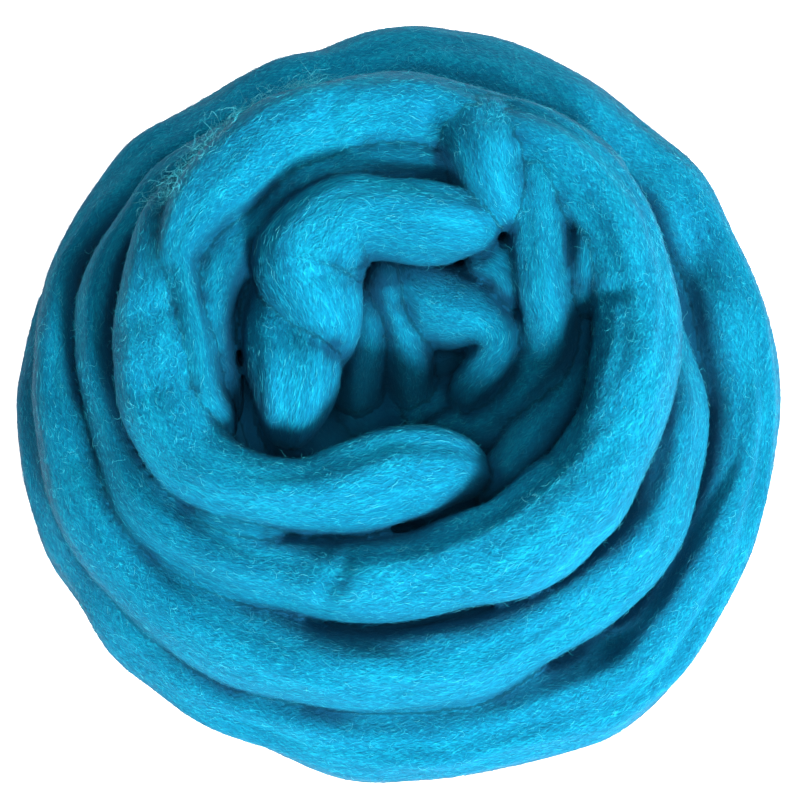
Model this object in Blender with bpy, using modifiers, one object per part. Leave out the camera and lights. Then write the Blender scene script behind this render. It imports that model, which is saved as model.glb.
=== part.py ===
"""A nest of dyed wool roving, built as one solid.

Roving is one long, soft strand of combed wool with no twist. It is laid by hand round and round on a
table, each turn rising on the one below and drawing in, and its inner end is folded over itself in
the middle. The nest is modelled strand by strand: each row of a table below is one cross-section of
the strand, in metres, and the skin is rolled round a smooth line through those rows. The strands
press into each other, so they are fused into one body with a voxel remesh, thinned to few faces, and
cut flat where they lie on the table.

The origin is on the table under the middle of the nest. +Z is up and -Y is the front.
"""

import math
from collections import namedtuple

import bmesh
import bpy
from mathutils import Vector

NODE = "roving"
WOOL_COLOUR = (0.008, 0.31, 0.52, 1.0)
WOOL_ROUGHNESS = 0.85

RING_STEP = 0.003  # between the cross-sections of a skin
SIDES = 24  # round a cross-section
TIP_LENGTH = 0.012  # over which a strand's end draws in to a point
SECTION_FULLNESS = 0.90  # 1 is an oval section, and less is boxier
VOXEL = 0.0024
KEEP_FACES = 0.098  # share of the fused skin's faces that is kept
POINT_MERGE = 1e-6

# crease is where the deepest lengthwise fold lies, in degrees round the section: 0 is the strand's
# right side as it runs, which is the outside of a turn, 90 its top and 180 its left side. cut is that
# fold's depth, as a share of the section's radius.
Section = namedtuple("Section", "x y z width depth crease cut")

LOWEST_TURN = [
    Section(-0.1097, 0.0433, 0.011, 0.0116, 0.018, 60, 0.04),
    Section(-0.1126, 0.0293, 0.011, 0.0184, 0.021, 60, 0.06),
    Section(-0.1151, 0.0080, 0.012, 0.0230, 0.024, 60, 0.08),
    Section(-0.1146, -0.0046, 0.013, 0.0269, 0.027, 50, 0.08),
    Section(-0.1113, -0.0243, 0.014, 0.0287, 0.029, 45, 0.08),
    Section(-0.1060, -0.0390, 0.014, 0.0299, 0.029, 40, 0.06),
    Section(-0.1016, -0.0501, 0.014, 0.0305, 0.030, 40, 0.06),
    Section(-0.0927, -0.0631, 0.014, 0.0310, 0.030, 50, 0.06),
    Section(-0.0825, -0.0768, 0.014, 0.0309, 0.030, 50, 0.06),
    Section(-0.0701, -0.0875, 0.014, 0.0308, 0.030, 50, 0.06),
    Section(-0.0552, -0.0977, 0.014, 0.0307, 0.030, 50, 0.06),
    Section(-0.0388, -0.1057, 0.014, 0.0306, 0.030, 50, 0.08),
    Section(-0.0191, -0.1115, 0.014, 0.0306, 0.030, 55, 0.10),
    Section(0.0012, -0.1137, 0.014, 0.0305, 0.030, 60, 0.12),
    Section(0.0198, -0.1129, 0.014, 0.0305, 0.030, 65, 0.12),
    Section(0.0373, -0.1091, 0.014, 0.0306, 0.030, 70, 0.12),
    Section(0.0523, -0.1040, 0.014, 0.0306, 0.030, 70, 0.12),
    Section(0.0638, -0.0996, 0.014, 0.0307, 0.030, 65, 0.14),
    Section(0.0758, -0.0914, 0.014, 0.0301, 0.030, 60, 0.18),
    Section(0.0878, -0.0778, 0.014, 0.0289, 0.030, 57, 0.22),
    Section(0.0987, -0.0607, 0.014, 0.0277, 0.030, 57, 0.24),
    Section(0.1069, -0.0433, 0.014, 0.0265, 0.030, 57, 0.24),
    Section(0.1125, -0.0290, 0.014, 0.0253, 0.030, 57, 0.24),
    Section(0.1151, -0.0123, 0.014, 0.0254, 0.030, 57, 0.22),
    Section(0.1149, 0.0014, 0.014, 0.0262, 0.030, 57, 0.20),
    Section(0.1132, 0.0135, 0.014, 0.0277, 0.030, 60, 0.16),
    Section(0.1094, 0.0302, 0.014, 0.0285, 0.030, 60, 0.12),
    Section(0.1043, 0.0457, 0.014, 0.0279, 0.030, 70, 0.08),
    Section(0.0929, 0.0660, 0.014, 0.0288, 0.030, 85, 0.08),
    Section(0.0810, 0.0777, 0.014, 0.0295, 0.030, 90, 0.10),
    Section(0.0605, 0.0928, 0.014, 0.0324, 0.030, 90, 0.08),
    Section(0.0453, 0.1014, 0.014, 0.0332, 0.030, 80, 0.06),
    Section(0.0301, 0.1082, 0.014, 0.0326, 0.029, 70, 0.06),
    Section(0.0164, 0.1125, 0.014, 0.0319, 0.029, 70, 0.06),
    Section(0.0064, 0.1143, 0.014, 0.0319, 0.029, 70, 0.06),
    Section(-0.0054, 0.1120, 0.014, 0.0312, 0.028, 70, 0.06),
    Section(-0.0210, 0.1062, 0.014, 0.0305, 0.028, 70, 0.05),
    Section(-0.0349, 0.1036, 0.014, 0.0298, 0.028, 70, 0.05),
    Section(-0.0466, 0.0990, 0.014, 0.0290, 0.027, 70, 0.05),
    Section(-0.0613, 0.0908, 0.015, 0.0275, 0.027, 70, 0.05),
    Section(-0.0732, 0.0829, 0.016, 0.0268, 0.026, 70, 0.05),
    Section(-0.0829, 0.0765, 0.017, 0.0246, 0.026, 70, 0.05),
    Section(-0.0957, 0.0616, 0.020, 0.0197, 0.026, 70, 0.05),
    Section(-0.1066, 0.0456, 0.023, 0.0141, 0.026, 70, 0.05),
]
SECOND_TURN = [
    Section(-0.1110, 0.0342, 0.026, 0.0134, 0.025, 60, 0.04),
    Section(-0.1117, 0.0209, 0.028, 0.0156, 0.026, 60, 0.04),
    Section(-0.1112, 0.0067, 0.030, 0.0168, 0.026, 80, 0.06),
    Section(-0.1106, -0.0063, 0.032, 0.0177, 0.027, 90, 0.10),
    Section(-0.1066, -0.0184, 0.033, 0.0215, 0.028, 95, 0.12),
    Section(-0.1023, -0.0299, 0.033, 0.0246, 0.028, 95, 0.12),
    Section(-0.0963, -0.0422, 0.034, 0.0271, 0.029, 100, 0.10),
    Section(-0.0880, -0.0550, 0.034, 0.0270, 0.029, 110, 0.10),
    Section(-0.0776, -0.0680, 0.034, 0.0269, 0.030, 110, 0.10),
    Section(-0.0684, -0.0757, 0.034, 0.0268, 0.030, 110, 0.10),
    Section(-0.0557, -0.0827, 0.034, 0.0268, 0.030, 110, 0.08),
    Section(-0.0413, -0.0887, 0.034, 0.0267, 0.030, 110, 0.08),
    Section(-0.0271, -0.0921, 0.034, 0.0267, 0.030, 90, 0.08),
    Section(-0.0127, -0.0941, 0.034, 0.0267, 0.030, 60, 0.10),
    Section(-0.0004, -0.0941, 0.034, 0.0267, 0.030, 50, 0.12),
    Section(0.0137, -0.0925, 0.034, 0.0261, 0.030, 45, 0.12),
    Section(0.0275, -0.0884, 0.034, 0.0261, 0.030, 40, 0.12),
    Section(0.0422, -0.0811, 0.034, 0.0255, 0.030, 40, 0.12),
    Section(0.0542, -0.0740, 0.034, 0.0249, 0.030, 45, 0.12),
    Section(0.0663, -0.0651, 0.034, 0.0244, 0.029, 50, 0.08),
    Section(0.0742, -0.0579, 0.034, 0.0238, 0.029, 50, 0.08),
    Section(0.0805, -0.0487, 0.033, 0.0232, 0.028, 60, 0.08),
    Section(0.0849, -0.0382, 0.033, 0.0226, 0.028, 60, 0.08),
    Section(0.0886, -0.0263, 0.032, 0.0221, 0.028, 60, 0.06),
    Section(0.0896, -0.0168, 0.032, 0.0222, 0.028, 60, 0.06),
    Section(0.0890, -0.0071, 0.031, 0.0223, 0.027, 60, 0.06),
    Section(0.0860, 0.0038, 0.030, 0.0224, 0.027, 60, 0.06),
    Section(0.0820, 0.0190, 0.029, 0.0225, 0.026, 60, 0.05),
    Section(0.0756, 0.0383, 0.029, 0.0226, 0.026, 60, 0.05),
    Section(0.0653, 0.0570, 0.029, 0.0228, 0.026, 60, 0.05),
    Section(0.0511, 0.0717, 0.029, 0.0235, 0.026, 60, 0.05),
    Section(0.0306, 0.0818, 0.029, 0.0236, 0.026, 60, 0.05),
    Section(0.0096, 0.0858, 0.030, 0.0236, 0.026, 60, 0.05),
    Section(-0.0156, 0.0858, 0.031, 0.0229, 0.026, 60, 0.05),
    Section(-0.0356, 0.0836, 0.033, 0.0215, 0.026, 60, 0.05),
    Section(-0.0524, 0.0779, 0.035, 0.0187, 0.026, 60, 0.06),
    Section(-0.0671, 0.0700, 0.038, 0.0159, 0.026, 70, 0.08),
    Section(-0.0769, 0.0623, 0.040, 0.0139, 0.025, 80, 0.08),
    Section(-0.0844, 0.0522, 0.041, 0.0125, 0.025, 90, 0.08),
    Section(-0.0910, 0.0420, 0.042, 0.0124, 0.024, 90, 0.06),
    Section(-0.0947, 0.0337, 0.042, 0.0134, 0.024, 90, 0.06),
    Section(-0.0968, 0.0234, 0.042, 0.0143, 0.024, 90, 0.06),
    Section(-0.0973, 0.0108, 0.042, 0.0136, 0.024, 90, 0.06),
]
THIRD_TURN = [
    Section(-0.0967, 0.0018, 0.043, 0.0136, 0.024, 90, 0.06),
    Section(-0.0938, -0.0100, 0.043, 0.0135, 0.024, 90, 0.06),
    Section(-0.0902, -0.0221, 0.044, 0.0141, 0.024, 90, 0.08),
    Section(-0.0855, -0.0332, 0.045, 0.0166, 0.025, 95, 0.08),
    Section(-0.0796, -0.0431, 0.046, 0.0190, 0.026, 100, 0.08),
    Section(-0.0711, -0.0506, 0.047, 0.0208, 0.027, 110, 0.10),
    Section(-0.0580, -0.0589, 0.048, 0.0214, 0.028, 110, 0.10),
    Section(-0.0467, -0.0632, 0.049, 0.0213, 0.028, 110, 0.10),
    Section(-0.0329, -0.0650, 0.049, 0.0226, 0.028, 100, 0.08),
    Section(-0.0205, -0.0679, 0.050, 0.0244, 0.029, 100, 0.04),
    Section(-0.0102, -0.0680, 0.052, 0.0268, 0.030, 120, 0.08),
    Section(0.0061, -0.0666, 0.053, 0.0280, 0.031, 120, 0.12),
    Section(0.0165, -0.0644, 0.054, 0.0293, 0.031, 125, 0.12),
    Section(0.0284, -0.0613, 0.055, 0.0305, 0.031, 130, 0.12),
    Section(0.0374, -0.0568, 0.056, 0.0311, 0.031, 130, 0.12),
    Section(0.0506, -0.0466, 0.056, 0.0312, 0.032, 130, 0.10),
    Section(0.0583, -0.0406, 0.056, 0.0306, 0.032, 130, 0.08),
    Section(0.0658, -0.0271, 0.056, 0.0295, 0.032, 110, 0.06),
    Section(0.0712, -0.0165, 0.057, 0.0283, 0.032, 90, 0.06),
    Section(0.0744, -0.0049, 0.057, 0.0278, 0.032, 70, 0.08),
    Section(0.0761, 0.0080, 0.057, 0.0273, 0.032, 60, 0.10),
    Section(0.0760, 0.0183, 0.058, 0.0273, 0.032, 55, 0.12),
    Section(0.0733, 0.0319, 0.059, 0.0267, 0.032, 55, 0.16),
    Section(0.0672, 0.0461, 0.060, 0.0268, 0.032, 55, 0.18),
    Section(0.0560, 0.0611, 0.061, 0.0269, 0.031, 60, 0.18),
    Section(0.0434, 0.0705, 0.061, 0.0263, 0.031, 60, 0.16),
    Section(0.0283, 0.0762, 0.062, 0.0257, 0.030, 60, 0.14),
]
TOP_TURN = [
    Section(0.0154, 0.0791, 0.063, 0.0251, 0.030, 50, 0.10),
    Section(0.0004, 0.0800, 0.065, 0.0250, 0.029, 40, 0.06),
    Section(-0.0137, 0.0784, 0.067, 0.0249, 0.029, 60, 0.06),
    Section(-0.0279, 0.0737, 0.068, 0.0274, 0.030, 100, 0.08),
    Section(-0.0388, 0.0693, 0.068, 0.0293, 0.030, 110, 0.10),
    Section(-0.0483, 0.0624, 0.067, 0.0286, 0.030, 115, 0.10),
    Section(-0.0566, 0.0545, 0.066, 0.0254, 0.029, 115, 0.06),
    Section(-0.0637, 0.0451, 0.065, 0.0203, 0.028, 100, 0.04),
    Section(-0.0687, 0.0345, 0.064, 0.0152, 0.027, 90, 0.04),
    Section(-0.0684, 0.0264, 0.063, 0.0133, 0.025, 90, 0.03),
    Section(-0.0654, 0.0149, 0.063, 0.0120, 0.024, 90, 0.02),
    Section(-0.0623, 0.0025, 0.062, 0.0113, 0.024, 90, 0.02),
    Section(-0.0611, -0.0088, 0.060, 0.0113, 0.024, 90, 0.02),
    Section(-0.0577, -0.0165, 0.056, 0.0126, 0.022, 90, 0.00),
    Section(-0.0528, -0.0232, 0.051, 0.0120, 0.018, 90, 0.00),
]
LEFT_TURN = [
    Section(-0.0704, 0.0646, 0.040, 0.0079, 0.018, 90, 0.00),
    Section(-0.0752, 0.0526, 0.049, 0.0104, 0.022, 90, 0.06),
    Section(-0.0775, 0.0430, 0.055, 0.0135, 0.025, 90, 0.08),
    Section(-0.0777, 0.0305, 0.059, 0.0185, 0.027, 80, 0.08),
    Section(-0.0769, 0.0208, 0.060, 0.0234, 0.028, 80, 0.08),
    Section(-0.0759, 0.0110, 0.060, 0.0278, 0.028, 85, 0.06),
    Section(-0.0750, 0.0026, 0.060, 0.0303, 0.029, 85, 0.06),
    Section(-0.0743, -0.0059, 0.060, 0.0308, 0.029, 85, 0.06),
    Section(-0.0729, -0.0139, 0.060, 0.0295, 0.029, 85, 0.08),
    Section(-0.0694, -0.0212, 0.060, 0.0275, 0.029, 90, 0.06),
    Section(-0.0631, -0.0310, 0.060, 0.0256, 0.029, 95, 0.06),
    Section(-0.0554, -0.0370, 0.061, 0.0236, 0.029, 100, 0.08),
    Section(-0.0437, -0.0410, 0.061, 0.0217, 0.029, 100, 0.08),
    Section(-0.0287, -0.0426, 0.062, 0.0235, 0.030, 110, 0.08),
    Section(-0.0180, -0.0414, 0.063, 0.0291, 0.030, 115, 0.10),
    Section(-0.0098, -0.0396, 0.063, 0.0303, 0.030, 115, 0.12),
    Section(-0.0013, -0.0362, 0.061, 0.0298, 0.030, 110, 0.12),
    Section(0.0067, -0.0343, 0.058, 0.0275, 0.029, 100, 0.10),
    Section(0.0137, -0.0331, 0.052, 0.0233, 0.027, 95, 0.08),
    Section(0.0201, -0.0333, 0.044, 0.0172, 0.023, 95, 0.04),
    Section(0.0252, -0.0347, 0.036, 0.0097, 0.016, 95, 0.00),
]
UNDER_FOLD = [
    Section(-0.0661, -0.0438, 0.051, 0.0057, 0.014, 90, 0.00),
    Section(-0.0582, -0.0481, 0.054, 0.0078, 0.018, 90, 0.00),
    Section(-0.0500, -0.0514, 0.055, 0.0087, 0.020, 90, 0.00),
    Section(-0.0419, -0.0535, 0.054, 0.0075, 0.018, 90, 0.00),
    Section(-0.0340, -0.0540, 0.049, 0.0044, 0.014, 90, 0.00),
]
BACK_TURN = [
    Section(0.0712, 0.0533, 0.042, 0.0230, 0.026, 90, 0.00),
    Section(0.0582, 0.0678, 0.043, 0.0257, 0.028, 90, 0.04),
    Section(0.0402, 0.0768, 0.044, 0.0264, 0.030, 90, 0.04),
    Section(0.0204, 0.0809, 0.045, 0.0264, 0.030, 90, 0.04),
    Section(0.0006, 0.0820, 0.046, 0.0263, 0.030, 90, 0.04),
    Section(-0.0191, 0.0813, 0.046, 0.0263, 0.030, 90, 0.04),
    Section(-0.0372, 0.0754, 0.046, 0.0263, 0.030, 90, 0.04),
    Section(-0.0518, 0.0641, 0.046, 0.0255, 0.030, 90, 0.04),
    Section(-0.0621, 0.0490, 0.045, 0.0248, 0.030, 90, 0.04),
    Section(-0.0677, 0.0307, 0.044, 0.0247, 0.030, 90, 0.04),
    Section(-0.0699, 0.0109, 0.043, 0.0227, 0.026, 90, 0.00),
]
INNER_LEFT_TURN = [
    Section(0.0174, 0.0612, 0.055, 0.0071, 0.016, 90, 0.00),
    Section(0.0128, 0.0616, 0.060, 0.0122, 0.022, 90, 0.04),
    Section(0.0006, 0.0626, 0.063, 0.0141, 0.024, 90, 0.08),
    Section(-0.0147, 0.0622, 0.063, 0.0160, 0.026, 90, 0.12),
    Section(-0.0288, 0.0576, 0.062, 0.0166, 0.026, 90, 0.10),
    Section(-0.0409, 0.0502, 0.060, 0.0166, 0.026, 90, 0.10),
    Section(-0.0505, 0.0401, 0.058, 0.0173, 0.026, 90, 0.08),
    Section(-0.0571, 0.0272, 0.057, 0.0166, 0.026, 90, 0.06),
    Section(-0.0592, 0.0143, 0.056, 0.0146, 0.026, 90, 0.06),
    Section(-0.0580, 0.0036, 0.053, 0.0121, 0.025, 90, 0.04),
    Section(-0.0560, -0.0051, 0.048, 0.0122, 0.023, 90, 0.02),
    Section(-0.0554, -0.0127, 0.042, 0.0109, 0.020, 90, 0.00),
    Section(-0.0571, -0.0181, 0.036, 0.0071, 0.016, 90, 0.00),
]
INNER_RIGHT_TURN = [
    Section(0.0380, 0.0826, 0.050, 0.0144, 0.016, 90, 0.00),
    Section(0.0385, 0.0751, 0.056, 0.0207, 0.025, 90, 0.02),
    Section(0.0399, 0.0679, 0.059, 0.0200, 0.027, 90, 0.06),
    Section(0.0429, 0.0569, 0.060, 0.0173, 0.028, 95, 0.08),
    Section(0.0445, 0.0478, 0.059, 0.0179, 0.028, 100, 0.08),
    Section(0.0450, 0.0381, 0.058, 0.0185, 0.028, 105, 0.08),
    Section(0.0463, 0.0271, 0.055, 0.0198, 0.028, 110, 0.08),
    Section(0.0487, 0.0182, 0.047, 0.0194, 0.028, 110, 0.10),
    Section(0.0492, 0.0094, 0.038, 0.0189, 0.027, 110, 0.10),
    Section(0.0446, -0.0004, 0.031, 0.0184, 0.026, 100, 0.08),
    Section(0.0359, -0.0101, 0.026, 0.0178, 0.025, 100, 0.08),
    Section(0.0221, -0.0160, 0.022, 0.0185, 0.024, 100, 0.06),
    Section(0.0073, -0.0176, 0.020, 0.0166, 0.022, 90, 0.04),
]
INNER_SLOPE = [
    Section(0.0637, 0.0324, 0.044, 0.0130, 0.018, 90, 0.00),
    Section(0.0632, 0.0200, 0.040, 0.0183, 0.024, 90, 0.04),
    Section(0.0621, 0.0078, 0.035, 0.0203, 0.026, 90, 0.04),
    Section(0.0590, -0.0031, 0.031, 0.0210, 0.026, 90, 0.04),
    Section(0.0530, -0.0129, 0.030, 0.0223, 0.026, 90, 0.04),
    Section(0.0440, -0.0231, 0.031, 0.0215, 0.026, 90, 0.04),
    Section(0.0350, -0.0333, 0.033, 0.0188, 0.024, 90, 0.04),
    Section(0.0258, -0.0417, 0.034, 0.0142, 0.020, 90, 0.00),
]
CENTRE_FOLD = [
    Section(-0.0233, -0.0008, 0.042, 0.0058, 0.014, 90, 0.00),
    Section(-0.0224, 0.0046, 0.050, 0.0134, 0.020, 90, 0.00),
    Section(-0.0222, 0.0105, 0.058, 0.0196, 0.025, 90, 0.00),
    Section(-0.0246, 0.0175, 0.064, 0.0264, 0.029, 90, 0.02),
    Section(-0.0274, 0.0244, 0.066, 0.0333, 0.031, 70, 0.03),
    Section(-0.0274, 0.0310, 0.067, 0.0365, 0.031, 60, 0.04),
    Section(-0.0227, 0.0376, 0.069, 0.0333, 0.031, 50, 0.04),
    Section(-0.0145, 0.0435, 0.070, 0.0283, 0.031, 60, 0.05),
    Section(-0.0041, 0.0435, 0.070, 0.0245, 0.031, 75, 0.06),
    Section(0.0053, 0.0428, 0.069, 0.0252, 0.031, 72, 0.12),
    Section(0.0132, 0.0424, 0.067, 0.0234, 0.030, 66, 0.12),
    Section(0.0197, 0.0423, 0.063, 0.0191, 0.027, 60, 0.10),
    Section(0.0243, 0.0421, 0.058, 0.0128, 0.021, 60, 0.06),
    Section(0.0268, 0.0422, 0.052, 0.0058, 0.014, 95, 0.00),
]
HANGING_FOLD = [
    Section(-0.0352, 0.0381, 0.044, 0.0163, 0.020, 90, 0.00),
    Section(-0.0362, 0.0283, 0.048, 0.0239, 0.024, 90, 0.00),
    Section(-0.0356, 0.0189, 0.051, 0.0282, 0.027, 90, 0.03),
    Section(-0.0344, 0.0096, 0.055, 0.0305, 0.029, 90, 0.04),
    Section(-0.0331, 0.0005, 0.059, 0.0322, 0.030, 90, 0.04),
    Section(-0.0327, -0.0074, 0.060, 0.0302, 0.030, 90, 0.04),
    Section(-0.0333, -0.0138, 0.058, 0.0258, 0.028, 90, 0.04),
    Section(-0.0342, -0.0185, 0.053, 0.0190, 0.024, 90, 0.03),
    Section(-0.0351, -0.0220, 0.046, 0.0102, 0.016, 90, 0.00),
]
RIGHT_FOLD = [
    Section(0.0000, 0.0420, 0.040, 0.0098, 0.018, 90, 0.00),
    Section(0.0019, 0.0356, 0.041, 0.0164, 0.024, 90, 0.04),
    Section(0.0065, 0.0282, 0.041, 0.0241, 0.028, 90, 0.04),
    Section(0.0137, 0.0237, 0.040, 0.0287, 0.030, 80, 0.04),
    Section(0.0221, 0.0203, 0.040, 0.0254, 0.028, 80, 0.04),
    Section(0.0293, 0.0163, 0.040, 0.0189, 0.024, 80, 0.04),
    Section(0.0328, 0.0102, 0.039, 0.0156, 0.022, 80, 0.04),
    Section(0.0297, 0.0035, 0.036, 0.0157, 0.022, 90, 0.06),
    Section(0.0246, -0.0022, 0.030, 0.0151, 0.020, 90, 0.04),
    Section(0.0202, -0.0074, 0.023, 0.0126, 0.018, 90, 0.00),
]
SMALL_FOLD = [
    Section(0.0208, 0.0389, 0.046, 0.0085, 0.016, 90, 0.00),
    Section(0.0275, 0.0367, 0.048, 0.0136, 0.020, 90, 0.04),
    Section(0.0335, 0.0331, 0.050, 0.0136, 0.022, 90, 0.06),
    Section(0.0371, 0.0283, 0.048, 0.0116, 0.020, 90, 0.04),
    Section(0.0377, 0.0245, 0.042, 0.0078, 0.016, 90, 0.00),
]
HOOK_FOLD = [
    Section(0.0242, 0.0838, 0.061, 0.0297, 0.018, 90, 0.00),
    Section(0.0243, 0.0773, 0.065, 0.0314, 0.023, 90, 0.00),
    Section(0.0249, 0.0703, 0.066, 0.0281, 0.026, 80, 0.00),
    Section(0.0264, 0.0639, 0.067, 0.0248, 0.028, 80, 0.03),
    Section(0.0283, 0.0573, 0.066, 0.0222, 0.028, 80, 0.04),
    Section(0.0306, 0.0526, 0.063, 0.0198, 0.027, 80, 0.03),
    Section(0.0326, 0.0499, 0.060, 0.0160, 0.023, 80, 0.00),
    Section(0.0338, 0.0490, 0.054, 0.0097, 0.016, 80, 0.00),
]
STEP_FOLD = [
    Section(0.0664, 0.0628, 0.050, 0.0182, 0.020, 90, 0.00),
    Section(0.0638, 0.0511, 0.055, 0.0180, 0.024, 90, 0.02),
    Section(0.0620, 0.0401, 0.058, 0.0160, 0.025, 90, 0.00),
    Section(0.0610, 0.0318, 0.057, 0.0141, 0.024, 90, 0.00),
    Section(0.0607, 0.0255, 0.051, 0.0122, 0.022, 90, 0.00),
    Section(0.0610, 0.0209, 0.043, 0.0071, 0.016, 90, 0.00),
]
HOLLOW_LEFT = [
    Section(-0.0155, 0.0274, 0.050, 0.0129, 0.018, 90, 0.00),
    Section(-0.0136, 0.0207, 0.044, 0.0182, 0.022, 90, 0.04),
    Section(-0.0131, 0.0134, 0.038, 0.0202, 0.024, 90, 0.06),
    Section(-0.0132, 0.0064, 0.031, 0.0184, 0.022, 90, 0.06),
    Section(-0.0136, -0.0006, 0.023, 0.0173, 0.020, 90, 0.04),
    Section(-0.0134, -0.0076, 0.014, 0.0114, 0.014, 90, 0.00),
]
HOLLOW_MIDDLE = [
    Section(-0.0049, 0.0391, 0.050, 0.0110, 0.018, 90, 0.00),
    Section(-0.0039, 0.0302, 0.046, 0.0136, 0.022, 90, 0.04),
    Section(-0.0017, 0.0217, 0.040, 0.0150, 0.024, 90, 0.06),
    Section(0.0013, 0.0131, 0.034, 0.0171, 0.024, 90, 0.06),
    Section(0.0039, 0.0052, 0.027, 0.0172, 0.022, 90, 0.06),
    Section(0.0053, -0.0020, 0.020, 0.0160, 0.018, 90, 0.04),
    Section(0.0060, -0.0090, 0.014, 0.0101, 0.014, 90, 0.00),
]
HOLLOW_FLOOR = [
    Section(-0.0010, -0.0155, 0.016, 0.0153, 0.016, 90, 0.00),
    Section(0.0090, -0.0064, 0.018, 0.0167, 0.020, 90, 0.06),
    Section(0.0239, -0.0024, 0.020, 0.0173, 0.022, 90, 0.08),
    Section(0.0439, 0.0023, 0.022, 0.0173, 0.022, 90, 0.04),
]
# Turns that lie hidden under the others, each a ring: its radius, its height, and the strand's size.
Ring = namedtuple("Ring", "radius z width depth")
BED_RINGS = [
    Ring(0.090, 0.013, 0.034, 0.027),
    Ring(0.062, 0.013, 0.030, 0.029),
    Ring(0.036, 0.012, 0.030, 0.028),
    Ring(0.011, 0.011, 0.028, 0.026),
    Ring(0.071, 0.027, 0.034, 0.028),
]
RING_ROWS = 12
# Soft hollows pressed into the wound nest from above: the middle of each, its reach along and across,
# the way it lies in degrees from +X towards +Y, and its depth.
Hollow = namedtuple("Hollow", "x y long short turned depth")
HOLLOWS = [
    Hollow(-0.0210, 0.0720, 0.0106, 0.0031, 95, 0.0018),
    Hollow(-0.0219, 0.0228, 0.0068, 0.0015, 8, 0.0014),
    Hollow(-0.0772, 0.0120, 0.0100, 0.0050, 24, 0.0016),
    Hollow(-0.0773, -0.0109, 0.0105, 0.0053, -4, 0.0017),
    Hollow(-0.0203, -0.0720, 0.0104, 0.0037, 55, 0.0026),
    Hollow(0.0684, -0.0865, 0.0069, 0.0035, 35, 0.0050),
    Hollow(0.0998, 0.0453, 0.0127, 0.0067, -66, 0.0055),
    Hollow(0.0668, 0.0198, 0.0056, 0.0031, 10, 0.0030),
    Hollow(0.0353, 0.0609, 0.0041, 0.0025, 20, 0.0024),
    Hollow(0.0109, 0.0744, 0.0052, 0.0032, -60, 0.0050),
    Hollow(-0.0367, 0.0060, 0.0075, 0.0044, -30, 0.0020),
]
HOLLOW_FLOOR_Z = 0.006  # below this height nothing is pressed down
HOLLOW_FULL_Z = 0.026  # and above this one the hollow has its full depth


def between(rows, step):
    """Sections about step apart on a smooth curve through the rows (a Catmull-Rom spline)."""
    padded = [rows[0], *rows, rows[-1]]
    found = []
    for before, start, end, after in zip(padded, padded[1:], padded[2:], padded[3:]):
        apart = (Vector(end[:3]) - Vector(start[:3])).length
        pieces = max(1, round(apart / step))
        for piece in range(pieces):
            t = piece / pieces
            found.append(
                [
                    0.5
                    * (
                        2 * b
                        + (c - a) * t
                        + (2 * a - 5 * b + 4 * c - d) * t * t
                        + (3 * b - a - 3 * c + d) * t * t * t
                    )
                    for a, b, c, d in zip(before, start, end, after)
                ]
            )
    found.append(list(rows[-1]))
    return [Section(*values) for values in found]


def unevenness(along, turn, seed):
    """How much a section swells at an angle round it, as a share of its radius, from soft waves."""
    return (
        0.030 * math.sin(along / 0.0105 + 2.3 * seed)
        + 0.022 * math.sin(along / 0.0062 + turn + 4.1 * seed)
        + 0.024 * math.sin(along / 0.0150 - 2 * turn + seed)
        + 0.018 * math.sin(along / 0.0270 + 5 * turn + 1.7 * seed)
    )


def crease_depth(section, along, turn, seed):
    """How far the main lengthwise fold and two fainter ones draw the skin in, as a share of the radius."""
    wander = 8 * math.sin(along / 0.030 + seed)
    creases = (
        (section.crease + wander, section.cut, 13),
        (section.crease + 48 - 2 * wander, 0.45 * section.cut, 10),
        (section.crease - 42 + 2 * wander, 0.35 * section.cut, 9),
    )
    drawn_in = 0.0
    for at, depth, spread in creases:
        away = (math.degrees(turn) - at + 180) % 360 - 180
        drawn_in += depth * math.exp(-((away / spread) ** 2))
    return drawn_in


def tip(along, length):
    """The share of its full size that a strand has this far along it: it draws in at both ends."""
    short = min(TIP_LENGTH, length / 3)
    near = min(along, length - along)
    if near >= short:
        return 1.0
    return math.sqrt(max(0.0, 1 - (1 - near / short) ** 2))


def pressed(point):
    """How far the hollows press a point of the skin down."""
    share = (point.z - HOLLOW_FLOOR_Z) / (HOLLOW_FULL_Z - HOLLOW_FLOOR_Z)
    share = min(1.0, max(0.0, share))
    down = 0.0
    for hollow in HOLLOWS:
        angle = math.radians(hollow.turned)
        x, y = point.x - hollow.x, point.y - hollow.y
        along = (x * math.cos(angle) + y * math.sin(angle)) / hollow.long
        across = (y * math.cos(angle) - x * math.sin(angle)) / hollow.short
        down += hollow.depth * math.exp(-(along**2) - across**2)
    return down * share


def plump(share):
    """Fills an oval section out towards a box: soft wool flattens against its neighbours."""
    return math.copysign(abs(share) ** SECTION_FULLNESS, share)


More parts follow.
